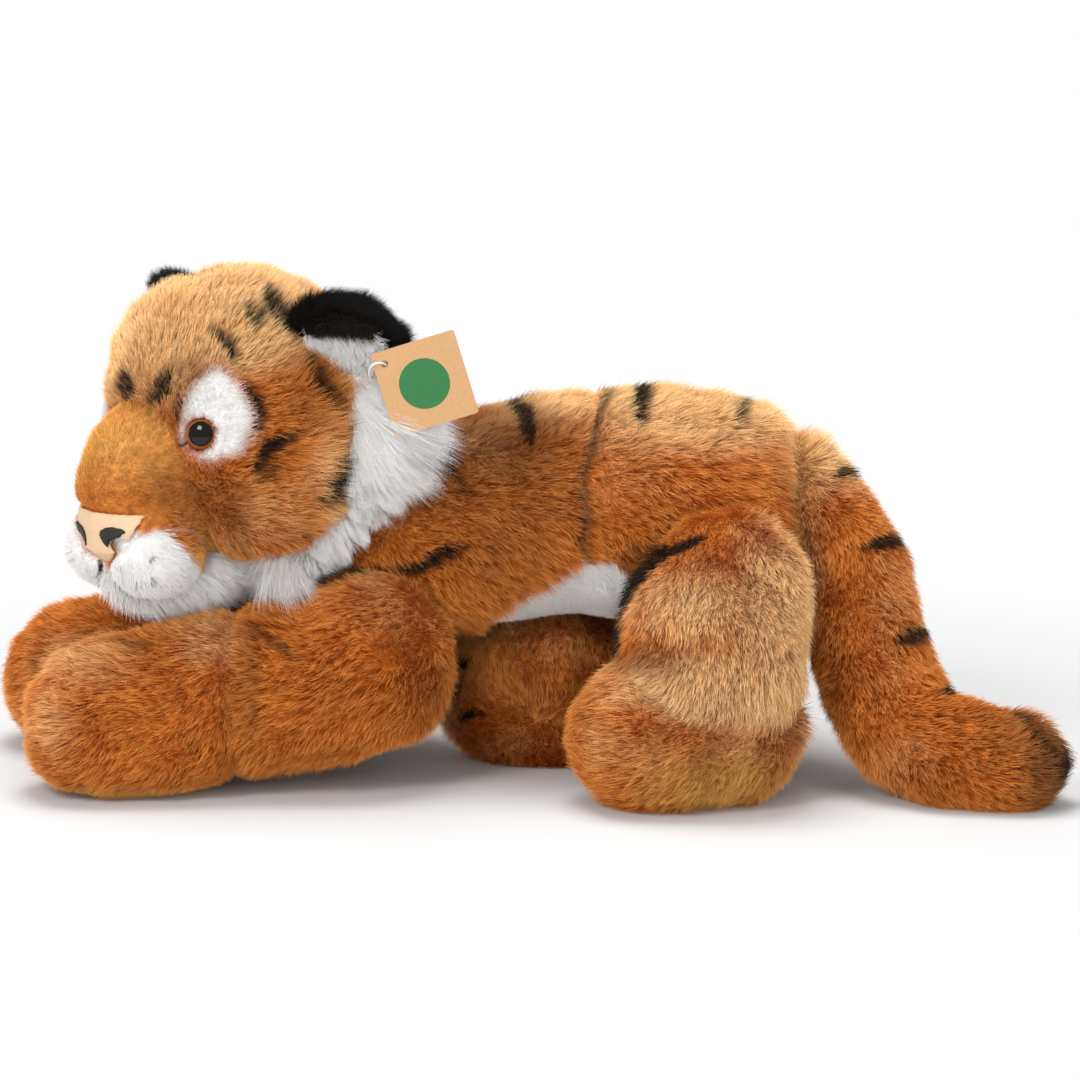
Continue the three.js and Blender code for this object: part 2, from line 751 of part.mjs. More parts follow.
// Front legs: paw, wrist and a forearm that rises to the shoulder
const paw_rise = front_leg_depth / 2;
const shoulder_end = torso_front + shoulder_along;
const legSide = (side) => (side < 0 ? -near_leg_side : far_leg_side);
function frontLeg(side, lead) {
  const start = new THREE.Vector3(shoulder_end - front_leg_length - lead, legSide(side), paw_rise);
  const stations = stationsFrom(
    front_leg_shares, start, front_leg_length + lead, -side * front_leg_toe_out,
    front_leg_climb, front_leg_width, front_leg_depth,
  );
  return settled(stuffed(stations, upright, limb_rings, limb_sides));
}
const shoulderPivot = (side) => new THREE.Vector3(
  shoulder_end - shoulder_set_in,
  legSide(side) - 2 * side * front_leg_toe_out,
  torso_height,
);
const swingClear = (pivot, flex) => sweptPast(torso_clear, pivot, upright, flex);

// The sole is the slice of a paw that lies on the floor
function pawSplit(leg, sole_region, leg_region) {
  return { leg: leg.subtract(leg_region), sole: leg.intersect(sole_region) };
}
function underPaw(low_x, high_x, top) {
  return boxBetween(
    new THREE.Vector3(low_x, -far_out, -far_out),
    new THREE.Vector3(high_x, far_out, top),
  );
}
const front_sole_end = shoulder_end - front_leg_length + front_paw_length;
function frontLegPieces(side, lead) {
  const form = frontLeg(side, lead);
  const body = solid(form).subtract(floor_block).subtract(swingClear(shoulderPivot(side), front_leg_flex));
  const sole_region = underPaw(-far_out, front_sole_end, sole_thickness);
  const leg_region = underPaw(-far_out, front_sole_end + seam_gap, sole_thickness + seam_gap);
  return pawSplit(body, sole_region, leg_region);
}
const front_near = frontLegPieces(-1, 0);
const front_far = frontLegPieces(1, far_paw_lead);

// Near hind leg: a thigh that hangs over the side of the rump, and a long paw
const near_hip = new THREE.Vector3(torso_end - near_hip_set_in, -near_hip_side, near_hip_height);
const near_thigh = stuffed(
  stationsFrom(
    near_thigh_shares, near_hip, -near_thigh_reach, -near_thigh_spread,
    -(near_hip_height - near_paw_depth / 2), thigh_girth, thigh_girth,
  ),
  lengthwise, limb_rings, limb_sides,
);
const near_heel = new THREE.Vector3(
  near_hip.x + near_heel_back,
  -near_heel_side,
  near_paw_depth / 2,
);
const near_paw = settled(stuffed(
  stationsFrom(
    near_paw_shares, near_heel, -near_paw_length, near_paw_length, near_paw_depth,
    near_paw_width, near_paw_depth,
  ),
  upright, limb_rings, limb_sides,
));
const near_hind_body = solid(near_thigh).add(solid(near_paw)).subtract(floor_block)
  .subtract(swingClear(near_hip, hind_leg_flex));
const near_hind = pawSplit(
  near_hind_body,
  underPaw(-far_out, far_out, sole_thickness),
  underPaw(-far_out, far_out, sole_thickness + seam_gap),
);

// Far hind leg: it lies under the rump, and its paw turns its sole to the near side
const far_hip = new THREE.Vector3(torso_end - far_hip_set_in, far_hip_side, far_thigh_girth / 2);
const far_thigh_reach = far_hip.x - shoulder_end - far_thigh_clear;
const far_thigh = settled(stuffed(
  stationsFrom(
    far_thigh_shares, far_hip, -far_thigh_reach, -far_thigh_spread, far_thigh_girth,
    far_thigh_girth, far_thigh_girth,
  ),
  upright, limb_rings, limb_sides,
));
const far_ankle = new THREE.Vector3(
  far_hip.x - far_thigh_reach + far_ankle_lag, far_ankle_side, far_paw_depth / 2,
);
const farPawStations = far_paw_shares.map(([along, drift, rise, wide, high]) => ({
  at: new THREE.Vector3(
    far_ankle.x - drift * far_paw_length,
    far_ankle.y - along * far_paw_length,
    far_ankle.z + rise * far_paw_depth,
  ),
  wide: wide * far_paw_width,
  high: high * far_paw_depth,
}));
const far_paw = settled(stuffed(farPawStations, upright, limb_rings, limb_sides));
const far_hind_body = solid(far_thigh).add(solid(far_paw)).subtract(floor_block)
  .subtract(swingClear(far_hip, hind_leg_flex));
const far_sole_place = far_ankle.y - far_paw_length + sole_thickness;
const beforeSole = (shift) => boxBetween(
  new THREE.Vector3(-far_out, -far_out, -far_out),
  new THREE.Vector3(far_out, far_sole_place + shift, far_out),
);
const far_hind = pawSplit(far_hind_body, beforeSole(0), beforeSole(seam_gap));

// Tail: it leaves the rump, drops to the floor and sweeps to the near side
const tail_root = new THREE.Vector3(torso_end - tail_root_set_in, 0, tail_root_height);
const tail_form = settled(stuffed(
  stationsFrom(
    tail_shares, tail_root, tail_reach, -tail_sweep, -(tail_root_height - tail_girth / 2),
    tail_girth, tail_girth,
  ),
  sideways, tail_rings, limb_sides,
));
const tail = solid(tail_form).subtract(floor_block).subtract(swingClear(tail_root, tail_flex));

// Hang tag: a square card with a hole near its upper corner
const tag_hang = sideOf(tag_hang_share, 1).multiply(head_size).applyMatrix4(head_frame);
const tag_turn = THREE.MathUtils.degToRad(tag_tilt);
const tag_matrix = new THREE.Matrix4().makeTranslation(tag_hang.x, tag_hang.y, tag_hang.z)
  .multiply(new THREE.Matrix4().makeRotationX(quarter_turn))
  .multiply(new THREE.Matrix4().makeRotationZ(tag_turn));
function tagOutline() {
  const card = new THREE.Shape();
  const left = -tag_hole_from_side;
  const right = left + tag_side;
  const top = tag_hole_from_top;
  const bottom = top - tag_side;
  card.moveTo(left + tag_corner, bottom);
  card.lineTo(right - tag_corner, bottom);
  card.quadraticCurveTo(right, bottom, right, bottom + tag_corner);
  card.lineTo(right, top - tag_corner);
  card.quadraticCurveTo(right, top, right - tag_corner, top);
  card.lineTo(left + tag_corner, top);
  card.quadraticCurveTo(left, top, left, top - tag_corner);
  card.lineTo(left, bottom + tag_corner);
  card.quadraticCurveTo(left, bottom, left + tag_corner, bottom);
  const hole = new THREE.Path();
  hole.absarc(0, 0, tag_hole / 2, 0, 2 * Math.PI, true);
  card.holes.push(hole);
  return card;
}
const tag_sheet = new THREE.ExtrudeGeometry(tagOutline(), {
  depth: tag_thickness,
  bevelEnabled: false,
  curveSegments: corner_steps,
});
tag_sheet.translate(0, 0, -tag_thickness / 2);
tag_sheet.setIndex([...Array(tag_sheet.attributes.position.count).keys()]);
const tag_card = placed(tag_sheet, tag_matrix);

// The thread is a loop: through the hole, round the edge of the card and into the seam behind the ear
const thread_middle = thread_loop_length / 2 - thread_overlap;
const thread_crossing = (tag_hole_from_side + tag_thickness + thread_clear) / 2;
const thread_half_width = thread_crossing / Math.sqrt(1 - (2 * thread_middle / thread_loop_length) ** 2);
function threadLoop() {
  const rows = [];
  for (let step = 0; step < thread_steps; step += 1) {
    const turn = 2 * Math.PI * step / thread_steps;
    const middle = new THREE.Vector3(
      thread_half_width * Math.cos(turn) - thread_crossing,
      0,
      thread_loop_length / 2 * Math.sin(turn) - thread_middle,
    );
    const outward = new THREE.Vector3(
      Math.cos(turn) / thread_half_width,
      0,
      2 * Math.sin(turn) / thread_loop_length,
    ).normalize();
    const row = [];
    for (let side = 0; side < thread_sides; side += 1) {
      const around = 2 * Math.PI * side / thread_sides;
      row.push(middle.clone()
        .addScaledVector(outward, thread_diameter / 2 * Math.cos(around))
        .addScaledVector(sideways, thread_diameter / 2 * Math.sin(around)));
    }
    rows.push(row);
  }
  return ringSkin(rows);
}
const ear_room = sweptPast(
  placedOnHead(lobe(ear_half, small_rings, small_sides, seam_gap + ear_sweep_slack), earMatrix(1)),
  earHinge(1).pivot, earHinge(1).axis, ear_flex,
);
const thread_matrix = tag_matrix.clone()
  .multiply(new THREE.Matrix4().makeRotationX(-THREE.MathUtils.degToRad(thread_dip)));
const tag_thread = placed(threadLoop(), thread_matrix).subtract(skull_clear).subtract(ear_room)
  .subtract(solid(ruffForm(1, seam_gap)));

// Every mesh, with the colour and finish of its material
const root = new THREE.Group();
const finish = {
  plush_orange: { color: 0xb8692f, roughness: 0.95, metalness: 0 },
  plush_golden: { color: 0xc98b3c, roughness: 0.95, metalness: 0 },
  plush_white: { color: 0xefece6, roughness: 0.95, metalness: 0 },
  plush_black: { color: 0x15130f, roughness: 0.95, metalness: 0 },
  velour_peach: { color: 0xf2cba6, roughness: 0.9, metalness: 0 },
  thread_black: { color: 0x1a1615, roughness: 0.7, metalness: 0 },
  eye_plastic: { color: 0x3a1f10, roughness: 0.08, metalness: 0 },
  washer_plastic: { color: 0xe8e8e4, roughness: 0.4, metalness: 0 },
  kraft_card: { color: 0xc9965f, roughness: 0.85, metalness: 0 },
  thread_white: { color: 0xf4f2ec, roughness: 0.6, metalness: 0 },
};
function show(name, body, look) {
  const geometry = geometryOf(body);
  geometry.computeVertexNormals();
  const mesh = new THREE.Mesh(geometry, new THREE.MeshStandardMaterial(finish[look]));
  mesh.name = name;
  root.add(mesh);
}

show('chest_and_back', chest_and_back, 'plush_orange');
show('hindquarters', hindquarters, 'plush_orange');
show('belly_panel', belly_panel, 'plush_white');
show('head', skull.subtract(both_patches).subtract(eye_rooms), 'plush_orange');
show('muzzle', muzzle_open, 'plush_golden');
show('nose_pad', nose_pad, 'velour_peach');
show('nostril_near', nostril_near, 'thread_black');
show('nostril_far', nostril_far, 'thread_black');
show('whisker_pad_near', whisker_pad_near, 'plush_white');
show('whisker_pad_far', whisker_pad_far, 'plush_white');
show('chin', chin, 'plush_white');
show('eye_patch_near', eyePatch(1), 'plush_white');
show('eye_patch_far', eyePatch(-1), 'plush_white');
show('eye_near', turnedOnEye(eyeProfile(), 1), 'eye_plastic');
show('eye_far', turnedOnEye(eyeProfile(), -1), 'eye_plastic');
show('eye_washer_near', turnedOnEye(washerProfile(0), 1), 'washer_plastic');
show('eye_washer_far', turnedOnEye(washerProfile(0), -1), 'washer_plastic');
show('ear_near', ear_near.back, 'plush_black');
show('ear_lining_near', ear_near.lining, 'plush_white');
show('ear_far', ear_far.back, 'plush_black');
show('ear_lining_far', ear_far.lining, 'plush_white');
show('ruff_near', ruff_near, 'plush_white');
show('ruff_far', ruff_far, 'plush_white');
show('front_leg_near', front_near.leg, 'plush_orange');
show('front_sole_near', front_near.sole, 'plush_golden');
show('front_leg_far', front_far.leg, 'plush_orange');
show('front_sole_far', front_far.sole, 'plush_golden');
show('hind_leg_near', near_hind.leg, 'plush_orange');
show('hind_sole_near', near_hind.sole, 'plush_golden');
show('hind_leg_far', far_hind.leg, 'plush_orange');
show('hind_sole_far', far_hind.sole, 'plush_golden');
show('tail', tail, 'plush_orange');
show('tag_card', tag_card, 'kraft_card');
show('tag_thread', tag_thread, 'thread_white');

// The part's origin is on the floor, under the middle of its box
const extent = new THREE.Box3().setFromObject(root);
const centre = extent.getCenter(new THREE.Vector3());
root.position.set(-centre.x, -centre.y, 0);

export default root;
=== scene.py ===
import json
import math

import bpy
import numpy as np
from mathutils import Matrix, Vector
from mathutils.bvhtree import BVHTree

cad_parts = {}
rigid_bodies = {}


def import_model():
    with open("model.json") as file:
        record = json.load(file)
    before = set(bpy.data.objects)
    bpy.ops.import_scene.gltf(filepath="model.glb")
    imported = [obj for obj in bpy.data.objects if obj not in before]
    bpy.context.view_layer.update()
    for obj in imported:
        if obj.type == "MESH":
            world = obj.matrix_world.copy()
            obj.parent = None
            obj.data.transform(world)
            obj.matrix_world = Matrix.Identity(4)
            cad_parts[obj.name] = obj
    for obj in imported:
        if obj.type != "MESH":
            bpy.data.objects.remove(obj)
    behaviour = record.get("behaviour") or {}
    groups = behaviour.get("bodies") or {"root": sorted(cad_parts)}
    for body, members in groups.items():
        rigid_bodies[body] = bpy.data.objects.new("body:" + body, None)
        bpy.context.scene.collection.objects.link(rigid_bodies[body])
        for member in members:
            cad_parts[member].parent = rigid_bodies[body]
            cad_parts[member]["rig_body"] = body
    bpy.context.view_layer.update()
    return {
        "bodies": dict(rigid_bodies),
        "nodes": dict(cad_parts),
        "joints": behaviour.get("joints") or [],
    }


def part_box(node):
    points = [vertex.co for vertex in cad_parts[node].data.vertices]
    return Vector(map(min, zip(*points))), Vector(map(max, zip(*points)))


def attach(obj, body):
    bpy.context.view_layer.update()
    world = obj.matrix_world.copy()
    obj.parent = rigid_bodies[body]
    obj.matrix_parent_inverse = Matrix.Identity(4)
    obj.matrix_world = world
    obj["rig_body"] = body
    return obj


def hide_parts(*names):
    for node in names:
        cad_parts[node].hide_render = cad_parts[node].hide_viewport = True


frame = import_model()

# Camera: a long lens at the height of the toy's back, aimed at the middle of its side.
# The photograph is square, and its pixels are used below to say where markings lie.
photo_side_px = 1080
sensor_width_mm = 36
lens_mm = 121.2
camera_distance = 2.0
camera_rise = math.radians(10)
camera_target = Vector((0.013, 0.0221, 0.125))



def new_object(name, data):
    """An object in the scene."""
    made = bpy.data.objects.new(name, data)
    bpy.context.collection.objects.link(made)
    return made


camera_back = Vector((0, -math.cos(camera_rise), math.sin(camera_rise)))
camera = new_object("camera", bpy.data.cameras.new("camera"))
camera.data.sensor_width = sensor_width_mm
camera.data.lens = lens_mm
camera.location = camera_target + camera_distance * camera_back
camera.rotation_euler = camera_back.to_track_quat("Z", "Y").to_euler()
bpy.context.scene.camera = camera


# Torso: a stuffed sleeve of long-pile plush with a white oval let in under the belly.
# Two panels meet at a seam round the waist. Fur is brushed to the tail and down the sides.
# Strokes are (half width, strength, route) and patches (x, y, half width, half height, strength).
mirror_y = sum(side.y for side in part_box("hindquarters")) / 2
body_mirror = (np.array((0, mirror_y, 0)), np.array((0, 1.0, 0)))
torso_solids = ("chest_and_back", "hindquarters", "belly_panel")
torso_voxel = 0.0025
torso_fur = 0.0095
belly_fur = 0.0035
belly_edge_px = (504, 603)
belly_edge_slope = -0.56
belly_edge_soft_px = 4
waist_seam = ((0.0405, 0.2), (0.0625, 0.05))
seam_half_width = 0.0035
seam_depth = 0.0018
shorter_in_seam = 0.35
torso_route = [[(-0.13, mirror_y, 0.13), (0.16, mirror_y, 0.13)]]
torso_droop = np.array((0, 0, -0.45))
tail_seam_px = [(795, 425, 42, 50, 0.007)]
torso_marks_px = {
    "tan": [
        (690, 402, 150, 58, 1.2), (545, 412, 80, 30, 0.9), (470, 440, 50, 24, 0.5),
        (640, 470, 60, 50, 0.3), (800, 440, 60, 60, 0.7),
    ],
    # The smoke patches are painted shade on the shoulder under the ruff and down the side, where it turns
    # from the lights
    "smoke": [
        (505, 458, 70, 42, 0.8), (450, 470, 40, 50, 0.6), (520, 500, 60, 50, 0.35), (500, 540, 70, 46, 0.3),
    ],
    "black": [
        (7, 0.8, [(421, 432), (436, 447), (452, 478)]),
        (6, 0.6, [(448, 470), (466, 496)]),
        (9, 0.9, [(508, 412), (522, 424), (529, 448)]),
        (8, 1.0, [(612, 388), (632, 392), (639, 428)]),
        (7, 0.6, [(744, 400), (735, 412), (735, 430)]),
        (7, 1.0, [(372, 568), (418, 563), (461, 543)]),
    ],
}
# Painted shade in creases of the torso: round the top of the thigh, down the waist seam and at the back of
# the rump
torso_crease_shade_px = [
    (6, 0.7, [(608, 612), (612, 584), (632, 552), (664, 530), (706, 516)]),
    (4.5, 1.1, [(606, 394), (590, 440), (577, 490), (583, 560)]),
    (6, 0.5, [(788, 450), (786, 520), (788, 580)]),
]


def values_of(data, kind, width):
    """Values kept on a mesh, as an array with one row for each point."""
    values = np.empty(len(data) * width, np.float32)
    data.foreach_get(kind, values)
    return values.reshape(-1, width).astype(float)


def points_and_normals(piece):
    return values_of(piece.data.vertices, "co", 3), values_of(piece.data.vertices, "normal", 3)


def reshaped(piece, points):
    """Moves a piece's points."""
    piece.data.vertices.foreach_set("co", points.astype(np.float32).ravel())
    piece.data.update()


def keep(piece, name, values):
    """Stores a value or a vector for each point of a piece."""
    values = np.asarray(values, np.float32)
    vector = values.ndim == 2
    if not vector:
        values = np.broadcast_to(values, len(piece.data.vertices))
    kept = piece.data.attributes.new(name, "FLOAT_VECTOR" if vector else "FLOAT", "POINT")
    kept.data.foreach_set("vector" if vector else "value", values.ravel())


def gathered(placed_nodes):
    """Points and faces of CAD nodes, each placed by its matrix."""
    points, faces = [], []
    for node, place in placed_nodes:
        start = len(points)
        points += [place @ corner.co for corner in node.data.vertices]
        faces += [[start + corner for corner in face.vertices] for face in node.data.polygons]
    return points, faces


def settled(form):
    """Makes what a form's modifiers give its own smooth mesh."""
    mesh = bpy.data.meshes.new_from_object(form.evaluated_get(bpy.context.evaluated_depsgraph_get()))
    form.modifiers.clear()
    form.data = mesh
    mesh.name = form.name
    mesh.shade_smooth()


def stuffed_skin(name, body, solids, voxel, rounds):
    """One round, closed skin over stuffed CAD solids, riding on their body in their place."""
    points, faces = gathered((frame["nodes"][solid], Matrix()) for solid in solids)
    joined = bpy.data.meshes.new("joined")
    joined.from_pydata(points, [], faces)
    form = new_object(name, joined)
    weld = form.modifiers.new("weld", "WELD")
    weld.merge_threshold = voxel / 100
    remesh = form.modifiers.new("remesh", "REMESH")
    remesh.mode = "VOXEL"
    remesh.voxel_size = voxel
    smooth = form.modifiers.new("smooth", "SMOOTH")
    smooth.factor = 0.5
    smooth.iterations = rounds
    settled(form)
    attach(form, body)
    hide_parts(*solids)
    return form


def search_tree(mesh):
    faces = [tuple(face.vertices) for face in mesh.polygons]
    return BVHTree.FromPolygons([corner.co.copy() for corner in mesh.vertices], faces)


def nearest(tree, points):
    """For each point, the nearest spot of a search tree, the way it faces there, and how far off it is."""
    found = [tree.find_nearest(Vector(point)) for point in points]
    spots, facing = (np.array([tuple(hit[part]) for hit in found]) for part in (0, 1))
    return spots, facing, np.array([hit[3] for hit in found])


def away_from(points, solids):
    """How far each point is from each of these CAD solids."""
    return np.array([nearest(search_tree(frame["nodes"][solid].data), points)[2] for solid in solids])


def carried_by(body):
    """This body and those that hang from it by joints."""
    carried = {body}
    for joint in frame["joints"]:
        if joint["parent"] in carried:
            carried.add(joint["child"])
    return carried


neighbour_trees = {}


def neighbours_of(body):
    """A search tree over the CAD solids of the other bodies, at rest and at each joint's limits."""
    if body not in neighbour_trees:
        others = set(frame["bodies"]) - {body}
        placed = [(others, Matrix())]
        for joint in frame["joints"]:
            moving = carried_by(joint["child"])
            way, group = (-1, others - moving) if body in moving else (1, moving)
            pivot = Matrix.Translation(joint["pos_m"])
            for limit in joint["range_deg"]:
                turn = Matrix.Rotation(math.radians(way * limit), 4, joint["axis"])
                placed.append((group, pivot @ turn @ pivot.inverted()))
        neighbour_trees[body] = BVHTree.FromPolygons(*gathered(
            (node, place) for group, place in placed
            for node in frame["nodes"].values() if node["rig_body"] in group
        ))
    return neighbour_trees[body]


def room_around(points, body):
    """How far each point stays from the other bodies as the joints move, below 0 where inside them."""
    spots, facing, away = nearest(neighbours_of(body), points)
    inside = ((points - spots) * facing).sum(1) < 0
    return np.where(inside, -away, away)


skin_swell = 0.0025
swell_from = 0.004
seam_clear = 0.0012
most_drawn_in = 0.004
floor_clear = 0.0003


def plump(piece, body, amount=skin_swell):
    """Swells a skin, keeps it clear of what moves beside it, and keeps it on the floor."""
    points, normals = points_and_normals(piece)
    room = room_around(points, body)
    swell = np.minimum(np.clip((room - swell_from) * 0.5, 0, None), amount)
    swell = swell - np.clip(seam_clear - room, 0, most_drawn_in)
    points = points + normals * swell[:, None]
    points[:, 2] = np.maximum(points[:, 2], floor_clear)
    reshaped(piece, points)


def unit(vectors):
    return vectors / np.maximum(np.linalg.norm(vectors, axis=-1, keepdims=True), 1e-9)


def from_stretch(points, start, end):
    """How far each point is from a straight stretch, and its share of the way along it."""
    step = end - start
    share = np.clip(((points - start) @ step) / (step @ step), 0, 1)
    return np.linalg.norm(points - (start + share[:, None] * step), axis=1), share


def along_routes(points, routes):
    """For each point, the direction of the nearest stretch of the routes."""
    best = np.full(len(points), np.inf)
    way = np.zeros((len(points), 3))
    for route in routes:
        corners = np.array(route, float)
        for start, end in zip(corners[:-1], corners[1:]):
            away, _ = from_stretch(points, start, end)
            nearer = away < best
            best[nearer] = away[nearer]
            way[nearer] = unit(end - start)
    return way


def joined_points(piece):
    """The two ends of each of a piece's edges."""
    ends = np.empty(len(piece.data.edges) * 2, np.int32)
    piece.data.edges.foreach_get("vertices", ends)
    return ends.reshape(-1, 2).T


def with_neighbours(values, one, two):
    """For each point, its value and those of the points joined to it, added up."""
    total = values.copy()
    np.add.at(total, one, values[two])
    np.add.at(total, two, values[one])
    return total


def evened(piece, values, rounds):
    """Spreads values over neighbouring points of a skin."""
    one, two = joined_points(piece)
    count = with_neighbours(np.ones(len(values)), one, two)
    for _ in range(rounds):
        values = with_neighbours(values, one, two) / count
    return values


comb_rounds = 24


def brushed(piece, way):
    """Keeps the direction in which the pile is brushed, evened out and laid on the skin."""
    _, normals = points_and_normals(piece)
    one, two = joined_points(piece)
    way = unit(way)
    for _ in range(comb_rounds):
        way = unit(with_neighbours(way, one, two))
    way = way - normals * (way * normals).sum(1)[:, None]
    keep(piece, "comb", unit(way))


def seen_px(points):
    """Where the camera sees each point, in pixels of the photograph."""
    turn = np.array(camera.rotation_euler.to_matrix())
    local = (points - np.array(camera.location)) @ turn
    scale = lens_mm / sensor_width_mm * photo_side_px / -local[:, 2]
    return np.stack((photo_side_px / 2 + local[:, 0] * scale, photo_side_px / 2 - local[:, 1] * scale), 1)


def mirrored(points, at, across):
    return points - 2 * ((points - at) @ across)[:, None] * across


edge_on = 0.02


def shown_side(piece, mirror):
    """Pixels of a skin's points. The side turned from the camera gets those of its mirror image."""
    points, normals = points_and_normals(piece)
    toward = np.array(camera_back)
    facing, image_facing = normals @ toward, mirrored(normals, 0, mirror[1]) @ toward
    turned_away = (facing < edge_on) & (image_facing > facing)
    return np.where(turned_away[:, None], seen_px(mirrored(points, *mirror)), seen_px(points))


stroke_taper = 0.55
stroke_reach = 1.6
stroke_fade = 1.1
patch_reach = 1.25
patch_power = 0.8


def strokes(pixels, marks):
    """How far each point lies under brush strokes that thin out towards their ends."""
    cover = np.zeros(len(pixels))
    for width, strength, route in marks:
        corners = np.array(route, float)
        lengths = np.linalg.norm(np.diff(corners, axis=0), axis=1)
        gone = 0
        for start, end, length in zip(corners[:-1], corners[1:], lengths):
            away, share = from_stretch(pixels, start, end)
            place = (gone + share * length) / lengths.sum()
            half = width * (1 - stroke_taper * (2 * place - 1) ** 2)
            cover = np.maximum(cover, strength * np.clip(stroke_fade * (stroke_reach - away / half), 0, 1))
            gone += length
    return cover


def patches(pixels, marks):
    """How far each point lies in soft oval patches."""
    cover = np.zeros(len(pixels))
    for x, y, wide, high, amount in marks:
        away = np.hypot((pixels[:, 0] - x) / wide, (pixels[:, 1] - y) / high)
        cover = np.maximum(cover, amount * np.clip(patch_reach - away, 0, 1) ** patch_power)
    return np.clip(cover, 0, 1)


def markings(pixels, tan=(), gold=(), smoke=(), black=()):
    """How far each colour of the coat covers each point."""
    return {
        "tan": patches(pixels, tan), "gold": patches(pixels, gold), "smoke": patches(pixels, smoke),
        "black": strokes(pixels, black),
    }


def add(tree, kind, values=None, **settings):
    """A new node with its settings made and its inputs linked or set."""
    node = tree.nodes.new(kind)
    for key, value in settings.items():
        setattr(node, key, value)
    for key, value in (values or {}).items():
        if isinstance(value, bpy.types.NodeSocket):
            tree.links.new(value, node.inputs[key])
        else:
            node.inputs[key].default_value = value
    return node


def math_node(tree, operation, *values):
    return add(tree, "ShaderNodeMath", dict(enumerate(values)), operation=operation).outputs[0]


def product(tree, value, *others):
    for other in others:
        value = math_node(tree, "MULTIPLY", value, other)
    return value


def vector_node(tree, operation, *values):
    """The result of a vector sum. To scale takes a vector and a value."""
    inputs = {0: values[0], "Scale": values[1]} if operation == "SCALE" else dict(enumerate(values))
    node = add(tree, "ShaderNodeVectorMath", inputs, operation=operation)
    return node.outputs["Value" if operation in ("DOT_PRODUCT", "LENGTH") else "Vector"]


def moved(tree, spot, way, by):
    """A spot moved by some length along a way."""
    return vector_node(tree, "ADD", spot, vector_node(tree, "SCALE", way, by))


def placed(tree, geometry, spot):
    """Puts each point of a geometry at its spot, and none below the floor."""
    above = vector_node(tree, "MAXIMUM", spot, (-10, -10, floor_clear))
    return add(tree, "GeometryNodeSetPosition", {"Geometry": geometry, "Position": above}).outputs[0]


def noise(tree, place, scale, detail, output=0):
    inputs = {"Vector": place, "Scale": scale, "Detail": detail}
    return add(tree, "ShaderNodeTexNoise", inputs).outputs[output]


def field(tree, name, sort="FLOAT"):
    """A value kept on a mesh or on the strands."""
    return add(tree, "GeometryNodeInputNamedAttribute", {"Name": name}, data_type=sort).outputs[0]


def stored(tree, geometry, name, value, sort="FLOAT", domain="POINT"):
    return add(tree, "GeometryNodeStoreNamedAttribute", {"Geometry": geometry, "Name": name, "Value": value},
               data_type=sort, domain=domain).outputs[0]


def new_group(name, kind, inputs, outputs):
    """An empty node group with named inputs and outputs."""
    group = bpy.data.node_groups.new(name, kind)
    for socket, sort, value in inputs:
        made = group.interface.new_socket(socket, in_out="INPUT", socket_type="NodeSocket" + sort)
        if value is not None:
            made.default_value = value
    for socket, sort in outputs:
        group.interface.new_socket(socket, in_out="OUTPUT", socket_type="NodeSocket" + sort)
    return group, group.nodes.new("NodeGroupInput").outputs, group.nodes.new("NodeGroupOutput").inputs


def object_skin(tree, given):
    skin = add(tree, "GeometryNodeObjectInfo", {"Object": given["Skin"]}, transform_space="ORIGINAL")
    return skin.outputs["Geometry"]


def planted(tree, roots, sprout):
    """A sprout at each root, which keeps where its root is and which way is up there."""
    place = tree.nodes.new("GeometryNodeInputPosition").outputs[0]
    start = stored(tree, roots.outputs["Points"], "upward", roots.outputs["Normal"], "FLOAT_VECTOR")
    start = stored(tree, start, "root", place, "FLOAT_VECTOR")
    sown = add(tree, "GeometryNodeInstanceOnPoints", {"Points": start, "Instance": sprout})
    return add(tree, "GeometryNodeRealizeInstances", {0: sown.outputs[0]}).outputs[0]


lean_loss = 0.45
lean_power = 1.5


def leaned(tree, along, length, lean):
    """How high a leaning strand stands and how far it lies over, at each share of its length."""
    lost = product(tree, along, along, lean, lean_loss)
    rise = product(tree, length, math_node(tree, "SUBTRACT", along, lost))
    return rise, product(tree, math_node(tree, "POWER", along, lean_power), lean, length)


pile_density = 1.5e6
strand_points = 5
shortest_share = 0.68
length_spread = 0.42
swirl_scale = 42.0
swirl_gain = 3.0
tuft_levels = ((1.0, 0.65), (2.7, 0.35))
gather_power = 1.3
tip_thinning = 0.85


